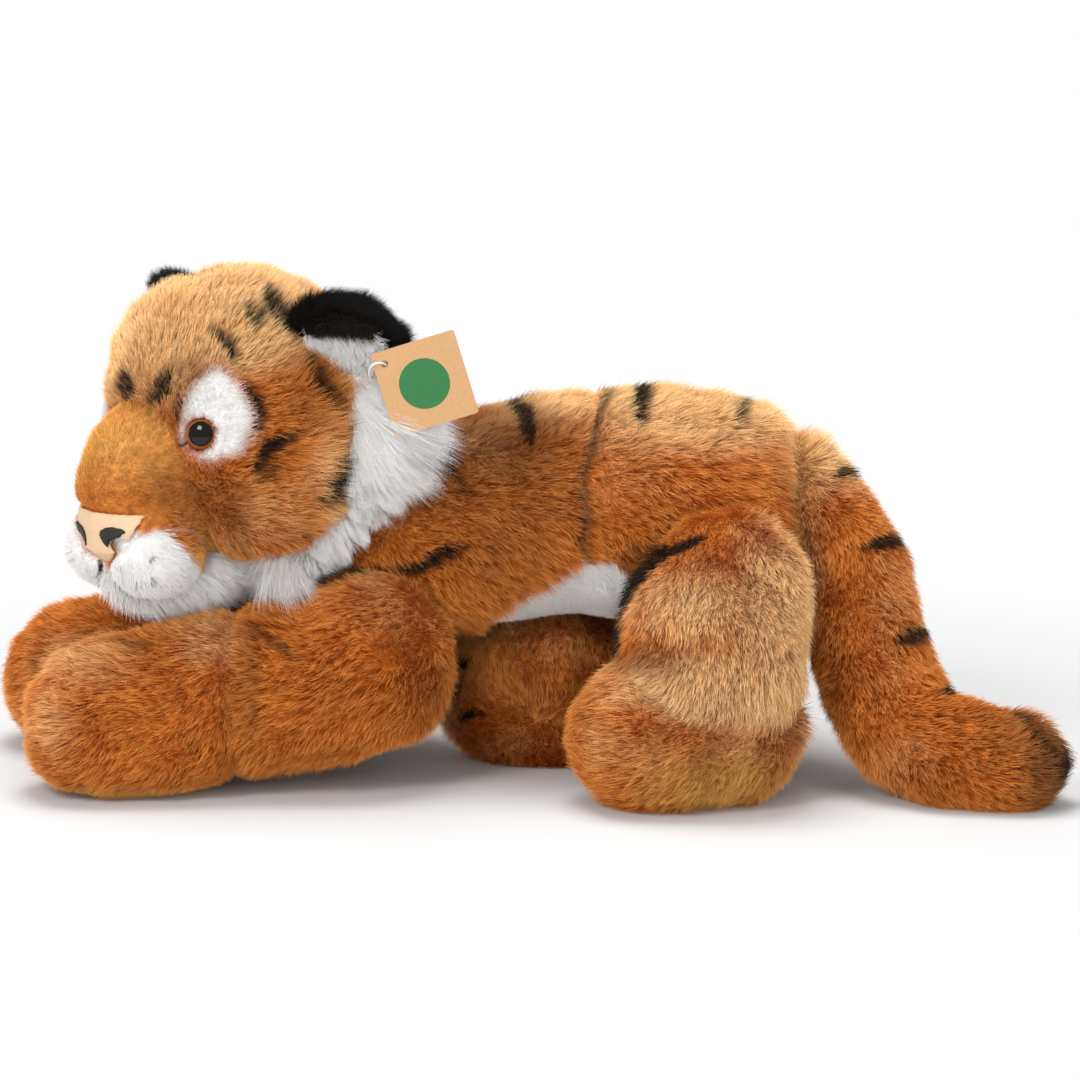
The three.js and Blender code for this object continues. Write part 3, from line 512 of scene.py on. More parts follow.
def pile_group():
    """Plush pile: strands that rise from a skin, lean along its brushing and gather into tufts."""
    tree, given, made = new_group(
        "pile", "GeometryNodeTree",
        [
            ("Skin", "Object", None), ("Finish", "Material", None), ("Density", "Float", pile_density),
            ("Lean", "Float", 0.6), ("Tuft", "Float", 0.0042), ("Gather", "Float", 0.26),
            ("Stray", "Float", 0.2), ("Radius", "Float", 0.00012), ("Swirl", "Float", 0.65),
            ("Seed", "Int", 1),
        ],
        [("Geometry", "Geometry")],
    )
    thick = product(tree, given["Density"], field(tree, "fullness"))
    roots = add(tree, "GeometryNodeDistributePointsOnFaces",
                {"Mesh": object_skin(tree, given), "Density": thick, "Seed": given["Seed"]})
    line = tree.nodes.new("GeometryNodeCurvePrimitiveLine")
    strand = add(tree, "GeometryNodeResampleCurve", {"Curve": line.outputs[0], "Count": strand_points})
    pile = planted(tree, roots, strand.outputs[0])

    along = tree.nodes.new("GeometryNodeSplineParameter").outputs["Factor"]
    order = tree.nodes.new("GeometryNodeInputIndex").outputs[0]
    own = add(tree, "GeometryNodeFieldOnDomain", {0: order}, domain="CURVE", data_type="INT").outputs[0]
    chance = add(tree, "FunctionNodeRandomValue", {2: 0.0, 3: 1.0, "ID": own, "Seed": 3}).outputs[1]
    drift = add(
        tree, "FunctionNodeRandomValue", {0: (-1, -1, -1), 1: (1, 1, 1), "ID": own, "Seed": 7},
        data_type="FLOAT_VECTOR",
    ).outputs[0]
    root, upward, comb = (field(tree, name, "FLOAT_VECTOR") for name in ("root", "upward", "comb"))
    uneven = math_node(tree, "MULTIPLY_ADD", chance, length_spread, shortest_share)
    length = product(tree, field(tree, "length"), uneven)
    rise, lay = leaned(tree, along, length, given["Lean"])
    wave = vector_node(tree, "SUBTRACT", noise(tree, root, swirl_scale, 1.0, "Color"), (0.5, 0.5, 0.5))
    way = moved(tree, comb, wave, product(tree, given["Swirl"], swirl_gain))
    spot = moved(tree, moved(tree, root, upward, rise), way, lay)

    for size, hold in tuft_levels:
        cells = math_node(tree, "DIVIDE", 1.0, product(tree, given["Tuft"], size))
        cell = add(tree, "ShaderNodeTexVoronoi", {"Vector": root, "Scale": cells}).outputs["Position"]
        pull = vector_node(tree, "SUBTRACT", cell, root)
        off = vector_node(tree, "DOT_PRODUCT", pull, upward)
        pull = vector_node(tree, "SUBTRACT", pull, vector_node(tree, "SCALE", upward, off))
        spot = moved(tree, spot, pull, product(
            tree, math_node(tree, "POWER", along, gather_power), given["Gather"], hold))
    spot = moved(tree, spot, drift, product(tree, length, given["Stray"], along))

    thin = math_node(tree, "MULTIPLY_ADD", product(tree, along, along), -tip_thinning, 1.0)
    radius = product(tree, thin, given["Radius"])
    shaped = add(tree, "GeometryNodeSetCurveRadius", {0: placed(tree, pile, spot), "Radius": radius})
    shaped = stored(tree, shaped.outputs[0], "strand", chance, domain="CURVE")
    shaped = stored(tree, shaped, "tip", along)
    last = add(tree, "GeometryNodeSetMaterial", {"Geometry": shaped, "Material": given["Finish"]})
    tree.links.new(last.outputs[0], made[0])
    return tree


def grown_by(form, group, **settings):
    """Gives a form a node group as its modifier, with the group's inputs set by name."""
    grower = form.modifiers.new(group.name, "NODES")
    grower.node_group = group
    for socket in group.interface.items_tree:
        if socket.in_out == "INPUT" and socket.name in settings:
            grower[socket.identifier] = settings[socket.name]


pile = pile_group()
quick_share = 1.0


def grow_pile(piece, body, finish, **settings):
    """Covers a skin with plush pile that rides on the same body."""
    strands = bpy.data.hair_curves.new(piece.name + "_pile")
    strands.materials.append(finish)
    fur = new_object(piece.name + "_pile", strands)
    settings["Density"] = settings.get("Density", pile_density) * quick_share
    grown_by(fur, pile, Skin=piece, Finish=finish, **settings)
    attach(fur, body)


furrow_scale = 300.0
furrow_stretch = 0.72
relief_share = 0.55
relief_fade = 0.004


def relief_group():
    """Low locks in a skin: furrows that run along its brushing."""
    tree, given, made = new_group(
        "pile_relief", "GeometryNodeTree", [("Geometry", "Geometry", None)], [("Geometry", "Geometry")])
    finer = add(tree, "GeometryNodeSubdivisionSurface", {"Mesh": given["Geometry"], "Level": 1})
    place = tree.nodes.new("GeometryNodeInputPosition").outputs[0]
    comb = field(tree, "comb", "FLOAT_VECTOR")
    along = product(tree, vector_node(tree, "DOT_PRODUCT", place, comb), furrow_stretch)
    squeezed = vector_node(tree, "SUBTRACT", place, vector_node(tree, "SCALE", comb, along))
    furrows = math_node(tree, "SUBTRACT", noise(tree, squeezed, furrow_scale, 2.0), 0.5)
    height = product(tree, furrows, field(tree, "relief"))
    spot = moved(tree, place, tree.nodes.new("GeometryNodeInputNormal").outputs[0], height)
    tree.links.new(placed(tree, finer.outputs[0], spot), made[0])
    return tree


pile_relief = relief_group()


def furrowed(piece, body):
    """Raises low locks in a skin, and none where it lies against another piece."""
    points, _ = points_and_normals(piece)
    depth = relief_share * values_of(piece.data.attributes["length"].data, "value", 1)[:, 0]
    keep(piece, "relief", depth * np.clip((room_around(points, body) - seam_clear) / relief_fade, 0, 1))
    grown_by(piece, pile_relief)


lock_clear = 0.005
lock_reach = 0.75
lock_lean = 0.8
lock_sink = 0.001
lock_taper = 0.06
lock_sides = 6
lock_segments = 4
most_locks = 4e5


def lock_group():
    """Tapered locks of pile that stand on a skin and bend along its brushing."""
    tree, given, made = new_group(
        "pile_locks", "GeometryNodeTree",
        [
            ("Skin", "Object", None), ("Finish", "Material", None), ("Spacing", "Float", 0.006),
            ("Radius", "Float", 0.0022), ("Lean", "Float", lock_lean), ("Seed", "Int", 1),
        ],
        [("Geometry", "Geometry")],
    )
    roots = add(
        tree, "GeometryNodeDistributePointsOnFaces",
        {"Mesh": object_skin(tree, given), "Distance Min": given["Spacing"], "Density Max": most_locks,
         "Density Factor": field(tree, "locks"), "Seed": given["Seed"]},
        distribute_method="POISSON",
    )
    cone = add(tree, "GeometryNodeMeshCone",
               {"Vertices": lock_sides, "Side Segments": lock_segments, "Radius Top": lock_taper,
                "Radius Bottom": 1.0, "Depth": 1.0})
    place = tree.nodes.new("GeometryNodeInputPosition").outputs[0]
    lock = stored(tree, cone.outputs["Mesh"], "form", place, "FLOAT_VECTOR")
    locks = planted(tree, roots, lock)

    names = ("root", "upward", "form", "comb")
    root, upward, form, comb = (field(tree, name, "FLOAT_VECTOR") for name in names)
    x, y, along = add(tree, "ShaderNodeSeparateXYZ", {0: form}).outputs
    rise, lay = leaned(tree, along, product(tree, field(tree, "length"), lock_reach), given["Lean"])
    spot = moved(tree, root, upward, math_node(tree, "SUBTRACT", rise, lock_sink))
    aside = vector_node(tree, "CROSS_PRODUCT", upward, comb)
    wide, deep = (product(tree, value, given["Radius"]) for value in (x, y))
    for way, by in ((comb, lay), (aside, wide), (comb, deep)):
        spot = moved(tree, spot, way, by)
    shaped = placed(tree, locks, spot)
    last = add(tree, "GeometryNodeSetMaterial", {"Geometry": shaped, "Material": given["Finish"]})
    tree.links.new(last.outputs[0], made[0])
    return tree


pile_locks = lock_group()


def standing_locks(piece, body, where, slot, **settings):
    """A separate piece of pile locks on part of a skin, clear of what moves beside it."""
    points, normals = points_and_normals(piece)
    length = values_of(piece.data.attributes["length"].data, "value", 1)
    comb = values_of(piece.data.attributes["comb"].data, "vector", 3)
    lean = settings.get("Lean", lock_lean)
    free = np.full(len(points), np.inf)
    for share in (0.5, 1.0):
        rise = share * (1 - lean_loss * lean * share)
        spots = points + (normals * rise + comb * lean * share**lean_power) * lock_reach * length
        free = np.minimum(free, room_around(spots, body))
    keep(piece, "locks", where * (free > lock_clear))
    locks = new_object(piece.name + "_locks", bpy.data.meshes.new(piece.name + "_locks"))
    grown_by(locks, pile_locks, Skin=piece, Finish=piece.data.materials[0], **settings)
    settled(locks)
    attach(locks, body)


def color_mix(tree, amount, one, two, blend="MIX"):
    colors = {0: amount, 6: one, 7: two}
    return add(tree, "ShaderNodeMix", colors, data_type="RGBA", blend_type=blend).outputs[2]


def ramped(tree, value, low, high):
    span = {0: value, 1: low, 2: high}
    return add(tree, "ShaderNodeMapRange", span, interpolation_type="SMOOTHSTEP").outputs[0]


coat_masks = ("tan", "gold", "smoke", "white", "black")
rust_dye, orange_dye, orange_tips = (0.50, 0.093, 0.007, 1), (0.70, 0.19, 0.02, 1), (0.95, 0.465, 0.12, 1)
tan_dye, gold_dye, smoke_and_shade_dye = (0.97, 0.69, 0.34, 1), (0.86, 0.48, 0.13, 1), (0.11, 0.06, 0.028, 1)
undyed, black_dye = (0.90, 0.89, 0.88, 1), (0.02, 0.014, 0.01, 1)
broad_scale, fine_scale, fluff_scale = 38.0, 240.0, 420.0


def tiger_coat_group():
    """The printed colours of the coat: orange with tan, gold, white and black places, and smoke places of
    dark ticking and of painted shade.
    """
    tree, given, made = new_group(
        "tiger_coat", "ShaderNodeTree",
        [("Place", "Vector", None), ("Tip", "Float", 0.5), ("Strand", "Float", 0.5)]
        + [(mask, "Float", 0.0) for mask in coat_masks],
        [("Color", "Color")],
    )
    tip, strand = given["Tip"], given["Strand"]
    broad = noise(tree, given["Place"], broad_scale, 3.0)
    fine = noise(tree, given["Place"], fine_scale, 2.0)

    def scaled(value, by, plus):
        return math_node(tree, "MULTIPLY_ADD", value, by, plus)

    # Orange from the root to a lighter tip, and uneven tan over it
    spread = math_node(tree, "ADD", product(tree, broad, 0.6), product(tree, fine, 0.4))
    coat = color_mix(tree, ramped(tree, spread, 0.36, 0.64), rust_dye, orange_dye)
    lighter = ramped(tree, tip, 0.35, 1.0)
    coat = color_mix(tree, product(tree, lighter, scaled(strand, 0.5, 0.2)), coat, orange_tips)
    drifted = product(tree, math_node(tree, "SUBTRACT", spread, 0.5), 1.2)
    uneven = ramped(tree, math_node(tree, "ADD", given["tan"], drifted), 0.08, 0.92)
    coat = color_mix(tree, product(tree, uneven, scaled(lighter, 0.5, 0.5)), coat, tan_dye)
    coat = color_mix(tree, given["gold"], coat, gold_dye)
    # Smoke: dark ticking, and painted shade in creases and on sides turned from the lights
    coat = color_mix(tree, product(tree, given["smoke"], scaled(strand, 0.7, 0.3)), coat, smoke_and_shade_dye)
    coat = color_mix(tree, given["white"], coat, undyed)
    broken = math_node(tree, "SUBTRACT", math_node(tree, "MULTIPLY_ADD", fine, 1.6, strand), 0.3)
    coat = color_mix(tree, ramped(tree, product(tree, given["black"], broken), 0.25, 0.9), coat, black_dye)

    # Painted shade at the roots, where the strands shade each other, and darker or lighter from strand to
    # strand; less so where it is white
    shade = product(tree, scaled(tip, 0.42, 0.62), scaled(strand, 0.28, 0.88), scaled(fine, 0.8, 0.6))
    even = product(tree, given["white"], 0.75)
    shade = math_node(tree, "ADD", product(tree, shade, math_node(tree, "SUBTRACT", 1.0, even)), even)
    tree.links.new(color_mix(tree, 1.0, coat, shade, "MULTIPLY"), made[0])
    return tree


tiger_coat = tiger_coat_group()


def new_finish(name, roughness):
    """A material with its node tree and its surface."""
    finish = bpy.data.materials.new(name)
    finish.use_nodes = True
    surface = finish.node_tree.nodes["Principled BSDF"]
    surface.inputs["Roughness"].default_value = roughness
    return finish, finish.node_tree, surface


def object_place(tree):
    return tree.nodes.new("ShaderNodeTexCoord").outputs["Object"]


def bumped(tree, surface, height, strength, distance):
    bump = add(tree, "ShaderNodeBump", {"Height": height, "Strength": strength, "Distance": distance})
    tree.links.new(bump.outputs[0], surface.inputs["Normal"])


def plush_finish(name, on_strands):
    """Tiger plush: matt fibre, for its backing cloth or for its strands."""
    finish, tree, cloth = new_finish(name, 0.62)
    cloth.inputs["Specular IOR Level"].default_value = 0.12

    def kept(name):
        return add(tree, "ShaderNodeAttribute", attribute_name=name).outputs

    inputs = {mask: kept(mask)["Fac"] for mask in coat_masks}
    if on_strands:
        inputs["Place"] = kept("root")["Vector"]
        inputs |= {"Tip": kept("tip")["Fac"], "Strand": kept("strand")["Fac"]}
    else:
        inputs["Place"] = place = object_place(tree)
        bumped(tree, cloth, noise(tree, place, fluff_scale, 3.0), 0.6, 0.002)
    coat = add(tree, "ShaderNodeGroup", node_tree=tiger_coat)
    for socket, value in inputs.items():
        tree.links.new(value, coat.inputs[socket])
    tree.links.new(coat.outputs[0], cloth.inputs["Base Color"])
    return finish


tiger_plush = (plush_finish("tiger_plush_backing", False), plush_finish("tiger_plush_strands", True))


def covered(piece, body, way, length, pair, fullness=1.0, **settings):
    """Brushes a skin and covers it with plush: a backing and the strands that grow from it."""
    brushed(piece, way)
    keep(piece, "length", length)
    keep(piece, "fullness", fullness)
    piece.data.materials.append(pair[0])
    furrowed(piece, body)
    grow_pile(piece, body, pair[1], **settings)


def dressed(piece, body, way, length, masks, **settings):
    """Colours a skin and covers it with tiger plush."""
    for mask in coat_masks:
        keep(piece, mask, masks.get(mask, 0.0))
    covered(piece, body, way, length, tiger_plush, **settings)


torso = stuffed_skin("torso_plush", "torso", torso_solids, torso_voxel, 8)
plump(torso, "torso")
points, normals = points_and_normals(torso)
pixels = shown_side(torso, body_mirror)
below_edge = pixels[:, 1] - belly_edge_px[1] - belly_edge_slope * (pixels[:, 0] - belly_edge_px[0])
on_panel = np.argmin(away_from(points, torso_solids), axis=0) == torso_solids.index("belly_panel")
belly = on_panel * np.clip(below_edge / belly_edge_soft_px, 0, 1)
(seam_x, seam_top), (foot_x, seam_foot) = waist_seam
seam_place = seam_x + (foot_x - seam_x) * (seam_top - points[:, 2]) / (seam_top - seam_foot)
crease = np.exp(-((points[:, 0] - seam_place) / seam_half_width) ** 2)
reshaped(torso, points - normals * (crease * seam_depth)[:, None])
masks = markings(pixels, **torso_marks_px)
masks["smoke"] = np.maximum(masks["smoke"], strokes(pixels, torso_crease_shade_px))
masks["black"] *= 1 - belly
masks["white"] = belly
length = (torso_fur + (belly_fur - torso_fur) * belly) * (1 - shorter_in_seam * crease)
length = length + patches(pixels, tail_seam_px)
dressed(torso, "torso", along_routes(points, torso_route) + torso_droop, length, masks, Seed=1)


# Front legs: stuffed paws and forearms of the same plush, each sole a separate golden pad.
# Fur is brushed from the shoulder to the toes, and a crease marks the wrist.
limb_voxel = 0.0025
leg_fur = 0.0085
front_routes = {
    "near": [[(-0.03, -0.02, 0.095), (-0.099, -0.036, 0.061), (-0.146, -0.04, 0.055),
              (-0.191, -0.043, 0.043), (-0.27, -0.044, 0.036)]],
    "far": [[(-0.03, 0.05, 0.095), (-0.105, 0.062, 0.061), (-0.158, 0.066, 0.055),
             (-0.209, 0.069, 0.043), (-0.296, 0.07, 0.036)]],
}
front_droop = np.array((0, 0, -0.15))
ankle = 3
wrist_from_ankle = 0.042
wrist_half_width = 0.006
wrist_depth = 0.004
sole_height, sole_blend = 0.012, 0.006
sole_gold = 0.7
shorter_on_sole, shorter_at_wrist = 0.4, 0.2
front_marks_px = {
    "tan": [
        (215, 640, 50, 34, 0.55), (90, 665, 70, 36, 0.5), (380, 600, 60, 40, 0.35), (60, 720, 40, 60, 0.4),
    ],
    # The smoke patches are painted shade in the wrist crease and under the elbow
    "smoke": [(256, 690, 12, 60, 0.45), (440, 690, 40, 80, 0.2)],
    "black": [
        (4, 0.5, [(128, 646), (146, 650), (160, 648)]),
        (6, 0.55, [(256, 628), (272, 640), (302, 662)]),
        (6, 0.8, [(318, 590), (350, 577), (390, 570)]),
    ],
}


def plush_limb(body, solids, route, swell=skin_swell):
    """The skin of a leg or of the tail, with its points, their normals and the way they are brushed."""
    limb = stuffed_skin(body + "_plush", body, solids, limb_voxel, 6)
    plump(limb, body, swell)
    points, normals = points_and_normals(limb)
    return limb, points, normals, along_routes(points, route)


for side, seed in (("near", 2), ("far", 3)):
    name = "front_leg_" + side
    leg, points, normals, way = plush_limb(name, (name, "front_sole_" + side), front_routes[side])
    pixels = shown_side(leg, body_mirror) if side == "far" else seen_px(points)
    sole = np.clip((sole_height - points[:, 2]) / sole_blend, 0, 1) * (normals[:, 2] < 0)
    wrist = front_routes[side][0][ankle][0] + wrist_from_ankle
    crease = np.exp(-((points[:, 0] - wrist) / wrist_half_width) ** 2)
    reshaped(leg, points - normals * (crease * wrist_depth)[:, None])
    masks = markings(pixels, **front_marks_px)
    masks["gold"] = sole * sole_gold
    length = leg_fur * (1 - shorter_on_sole * sole) * (1 - shorter_at_wrist * crease)
    dressed(leg, name, way + front_droop, length, masks, Seed=seed)


# Near hind leg: a plump thigh over the side of the rump and a long paw that lies on the floor.
# The thigh is brushed down, the paw to its toes.
near_hind_route = [
    [(0.119, -0.016, 0.16), (0.11, -0.05, 0.11), (0.108, -0.066, 0.07)],
    [(0.15, -0.05, 0.048), (0.115, -0.058, 0.04), (0.076, -0.071, 0.038), (0.02, -0.078, 0.036)],
]
near_hind_marks_px = {
    "tan": [
        (780, 630, 60, 130, 1.0), (705, 605, 90, 46, 0.75), (720, 685, 110, 44, 0.95),
        (650, 694, 50, 26, 0.7), (640, 745, 80, 50, 0.35), (745, 745, 60, 50, 0.5),
    ],
    "gold": [(720, 780, 78, 30, 0.95)],
    # The smoke patches are painted shade in the fold under the thigh and at the inner edge of the paw
    "smoke": [(636, 660, 60, 14, 0.5), (600, 720, 16, 40, 0.25)],
    "black": [
        # The first stroke is a dark stripe round the top of the thigh and the painted shadow of the crease
        # where the thigh lies over the rump
        (6, 1.1, [(626, 648), (624, 614), (641, 580), (668, 554), (708, 536)]),
        (7, 0.35, [(630, 652), (660, 640), (700, 644)]),
        (6, 0.25, [(650, 590), (690, 578), (740, 590)]),
    ],
}
heel_px = [(786, 700, 34, 40, 0.007)]
hind, points, _, way = plush_limb("hind_leg_near", ("hind_leg_near", "hind_sole_near"), near_hind_route)
pixels = seen_px(points)
length = leg_fur + patches(pixels, heel_px)
dressed(hind, "hind_leg_near", way, length, markings(pixels, **near_hind_marks_px), Seed=4)


# Far hind leg: it lies under the rump and shows the side of its paw, with three stitched claws.
# Its pile is longest on top, where it fills the room under the belly.
far_hind_route = [
    [(0.13, 0.064, 0.045), (0.05, 0.06, 0.045)],
    [(0.02, 0.05, 0.05), (0.014, -0.03, 0.045)],
]
far_hind_swell = 0.006
far_hind_droop = np.array((0, 0, -0.1))
far_hind_top_fur = 0.006
far_hind_marks_px = {
    "tan": [
        (480, 620, 80, 30, 0.6), (448, 700, 24, 70, 0.6), (560, 630, 60, 30, 0.3), (510, 745, 50, 20, 0.4),
    ],
    "gold": [(470, 640, 50, 60, 0.3)],
    # The smoke patches are painted shade where the paw lies under the rump and beside the near hind leg
    "smoke": [(600, 670, 34, 80, 0.25), (524, 690, 20, 50, 0.2), (505, 640, 26, 14, 0.2)],
    "black": [
        (5, 0.9, [(462, 667), (470, 660), (478, 656)]),
        (5, 0.9, [(450, 690), (462, 688)]),
        (5, 0.9, [(464, 717), (474, 712), (482, 712)]),
    ],
}
hind, points, normals, way = plush_limb(
    "hind_leg_far", ("hind_leg_far", "hind_sole_far"), far_hind_route, far_hind_swell)
length = leg_fur + far_hind_top_fur * np.clip(normals[:, 2], 0, 1)
masks = markings(seen_px(points), **far_hind_marks_px)
dressed(hind, "hind_leg_far", way + far_hind_droop, length, masks, Seed=5)


# Tail: a long stuffed tube of the same plush, sewn to the rump.
# It drops from there and sweeps over the floor to a dark tip.
tail_route = [[(0.12, 0.022, 0.165), (0.151, 0.02, 0.153), (0.182, 0.004, 0.117), (0.192, -0.025, 0.071),
               (0.21, -0.053, 0.038), (0.245, -0.071, 0.028), (0.3, -0.078, 0.026)]]
tip_start = 0.255
tip_blend = 0.03
tip_fur = 0.003
tail_marks_px = {
    "tan": [
        (830, 455, 60, 50, 0.85), (890, 600, 30, 110, 0.35), (810, 560, 20, 80, 0.5), (900, 760, 60, 30, 0.3),
    ],
    "smoke": [(1060, 765, 44, 66, 1.3), (1012, 730, 34, 30, 0.5)],
    "black": [
        (6, 0.8, [(828, 477), (842, 475), (856, 470)]),
        (7, 0.9, [(860, 546), (880, 541), (898, 538)]),
        (9, 0.8, [(896, 640), (908, 634), (916, 626)]),
        (9, 0.9, [(934, 694), (944, 688), (952, 680)]),
        (6, 0.4, [(948, 730), (958, 718)]),
        (6, 0.6, [(1004, 712), (1030, 738), (1048, 760)]),
        (18, 1.0, [(1068, 735), (1066, 765), (1058, 796)]),
    ],
}
tail_root_px = [(808, 440, 44, 50, 0.005)]
tail, points, _, way = plush_limb("tail", ("tail",), tail_route)
pixels = shown_side(tail, body_mirror)
tip = np.clip((points[:, 0] - tip_start) / tip_blend, 0, 1)
length = leg_fur + tip_fur * tip + patches(pixels, tail_root_px)
dressed(tail, "tail", way, length, markings(pixels, **tail_marks_px), Seed=6)
standing_locks(tail, "tail", tip, "plush_orange", Spacing=0.005, Radius=0.0018, Seed=26)


# Head: skull, golden muzzle, white whisker pads and chin sewn into one face, with white eye patches.
# The pile is shaved short on the muzzle and round the eyes, and is brushed away from the nose.
head_voxel = 0.0018
head_swell, swell_reach = 0.002, 0.006
head_middle = np.array((-0.155, 0.01015, 0.198))
head_turn = math.radians(42)
forward = np.array((-math.cos(head_turn), -math.sin(head_turn), 0.0))
nearside = np.array((math.sin(head_turn), -math.cos(head_turn), 0.0))
head_mirror = (head_middle, nearside)
face_solids = (
    "head", "muzzle", "whisker_pad_near", "whisker_pad_far", "chin", "eye_patch_near", "eye_patch_far",
)
hard_parts = ("eye_near", "eye_far", "nose_pad", "nostril_near", "nostril_far")
crown_fur, cheek_fur, muzzle_fur = 0.0075, 0.0095, 0.0038
pad_fur, chin_fur, patch_fur = 0.0042, 0.013, 0.0045
cheek_start, cheek_blend = 0.03, 0.03
shaved_share, shaved_reach = 0.2, 0.01
bald_reach, bald_blend = 0.0015, 0.001
eye_socket, socket_reach = 0.006, 0.0135
nose_set_in, nose_reach = 0.0016, 0.004
pad_give, pad_reach = 0.0015, 0.007
hindhead_start, hindhead_half_width = -0.03, 0.045
nose_tip = head_middle + forward * 0.09 + np.array((0, 0, -0.052))
head_droop = np.array((0, 0, -0.25))
eye_whorl, whorl_pull = 0.016, 1.5
lock_fur = 0.0105
head_marks_px = {
    "tan": [
        (215, 310, 120, 72, 1.3), (150, 350, 60, 70, 1.1), (120, 400, 30, 40, 0.6), (330, 470, 40, 70, 0.6),
        (265, 520, 60, 50, 0.4),
    ],
    # The large gold patch is the golden pile of the muzzle with a painted highlight on its top, where the key
    # light falls
    "gold": [(110, 440, 75, 46, 0.9), (208, 566, 30, 30, 0.8)],
    # The smoke patches at (180, 500) and (232, 520) are painted shade under the muzzle and beside the whisker
    # pad
    "smoke": [
        (300, 380, 30, 50, 0.35), (180, 500, 44, 44, 0.5), (232, 520, 14, 50, 0.4), (190, 380, 20, 20, 0.4),
    ],
    "black": [
        (7, 0.85, [(130, 378), (132, 390), (133, 402)]),
        (7, 0.8, [(169, 376), (164, 392), (156, 406)]),
        (5, 0.9, [(210, 334), (224, 344), (235, 362)]),
        (8, 0.75, [(244, 312), (250, 322), (255, 332)]),
        (10, 0.85, [(264, 296), (270, 314), (282, 332)]),
        (6, 1.1, [(284, 434), (266, 448), (248, 470)]),
        (5, 0.7, [(272, 466), (262, 472), (252, 480)]),
        (5, 0.9, [(302, 360), (312, 384), (322, 412)]),
        (5.5, 1.1, [(336, 424), (334, 450), (326, 474), (314, 498)]),
        (4.5, 1.0, [(243, 384), (253, 400), (257, 416), (254, 430)]),
        (3, 0.7, [(181, 400), (178, 414), (178, 428)]),
        (2.2, 1.0, [(188, 443), (179, 446), (170, 449)]),
    ],
}
gold_everywhere = 0.15
pad_edge_px = (152, 520)
pad_edge_slope = 1.07
pad_edge_soft_px = 5
patch_edge_px = [(270, 450, 26, 32, 1.4)]
nose_side_px = [(128, 542, 15, 13, 1.5)]
cheek_edge_px = [(340, 440, 34, 80, 0.013)]
# The first two strokes are the stitched seam under the nose and the painted shadow of the crease along the
# whisker pad's lower edge; the short ones are whisker dots
mouth_shade_and_dots_px = [
    (2.6, 1.0, [(99, 556), (101, 569), (104, 584)]),
    (2.4, 0.8, [(104, 584), (126, 591), (147, 598), (175, 600)]),
    (3, 0.5, [(119, 568), (121, 566)]), (3, 0.5, [(131, 565), (133, 563)]),
    (3, 0.6, [(150, 560), (156, 556)]), (3, 0.6, [(135, 584), (138, 582)]),
    (3, 0.6, [(150, 581), (156, 576)]), (3, 0.5, [(73, 560), (75, 558)]),
]


def middle_of(node):
    low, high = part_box(node)
    return (Vector(low) + Vector(high)) / 2


def outward_of(eye_side):
    """The middle of an eye and the way that it looks."""
    middle = middle_of("eye_" + eye_side)
    return middle, (middle - middle_of("eye_washer_" + eye_side)).normalized()


head = stuffed_skin("head_plush", "head", face_solids, head_voxel, 4)
points, _ = points_and_normals(head)
plump(head, "head", head_swell * np.clip(away_from(points, hard_parts).min(axis=0) / swell_reach, 0, 1))

# The skin is drawn in at the eyes and the nose, and the whisker pads give way beside the nostrils
points, normals = points_and_normals(head)
eyes = [tuple(np.array(part) for part in outward_of(side)) for side in ("near", "far")]
for middle, outward in eyes:
    reach = np.linalg.norm(points - middle, axis=1)
    points = points - outward * (eye_socket * np.exp(-((reach / socket_reach) ** 4)))[:, None]
nose_away = away_from(points, hard_parts[2:])
drawn_in = nose_set_in * np.exp(-((nose_away.min(axis=0) / nose_reach) ** 2))
drawn_in += pad_give * np.exp(-((nose_away[1:].min(axis=0) / pad_reach) ** 2))
points = points - normals * drawn_in[:, None]
reshaped(head, points)

# Colours and lengths follow the solid that each point lies nearest to
closest = np.argmin(away_from(points, face_solids), axis=0)
part_of = {name: (closest == number).astype(float) for number, name in enumerate(face_solids)}
muzzle, chin = part_of["muzzle"], part_of["chin"]
pads = part_of["whisker_pad_near"] + part_of["whisker_pad_far"]
eye_patches = part_of["eye_patch_near"] + part_of["eye_patch_far"]
pixels = shown_side(head, head_mirror)
above_pads = pad_edge_px[1] - pixels[:, 1] + pad_edge_slope * (pixels[:, 0] - pad_edge_px[0])
above_pads = np.clip(above_pads / pad_edge_soft_px, 0, 1) * evened(head, pads, 2)
white = evened(head, pads + chin + eye_patches, 2)
white = white * (1 - above_pads) * (1 - patches(pixels, patch_edge_px))
white = np.maximum(white, patches(pixels, nose_side_px))
sideways = np.abs((points - head_middle) @ nearside)
hindhead = ((points - head_middle) @ forward < hindhead_start) & (sideways < hindhead_half_width)
masks = markings(pixels, **head_marks_px)
masks["tan"] *= (1 - white) * (1 - muzzle)
golden = (muzzle + pads) * (gold_everywhere + (1 - gold_everywhere) * masks["gold"])
masks["gold"] = evened(head, golden, 4) * (1 - white)
masks["smoke"] *= 1 - white
masks["white"] = white
masks["black"] *= (1 - muzzle) * (1 - white * 0.5) * ~hindhead
masks["black"] = np.maximum(masks["black"], strokes(pixels, mouth_shade_and_dots_px) * pads)

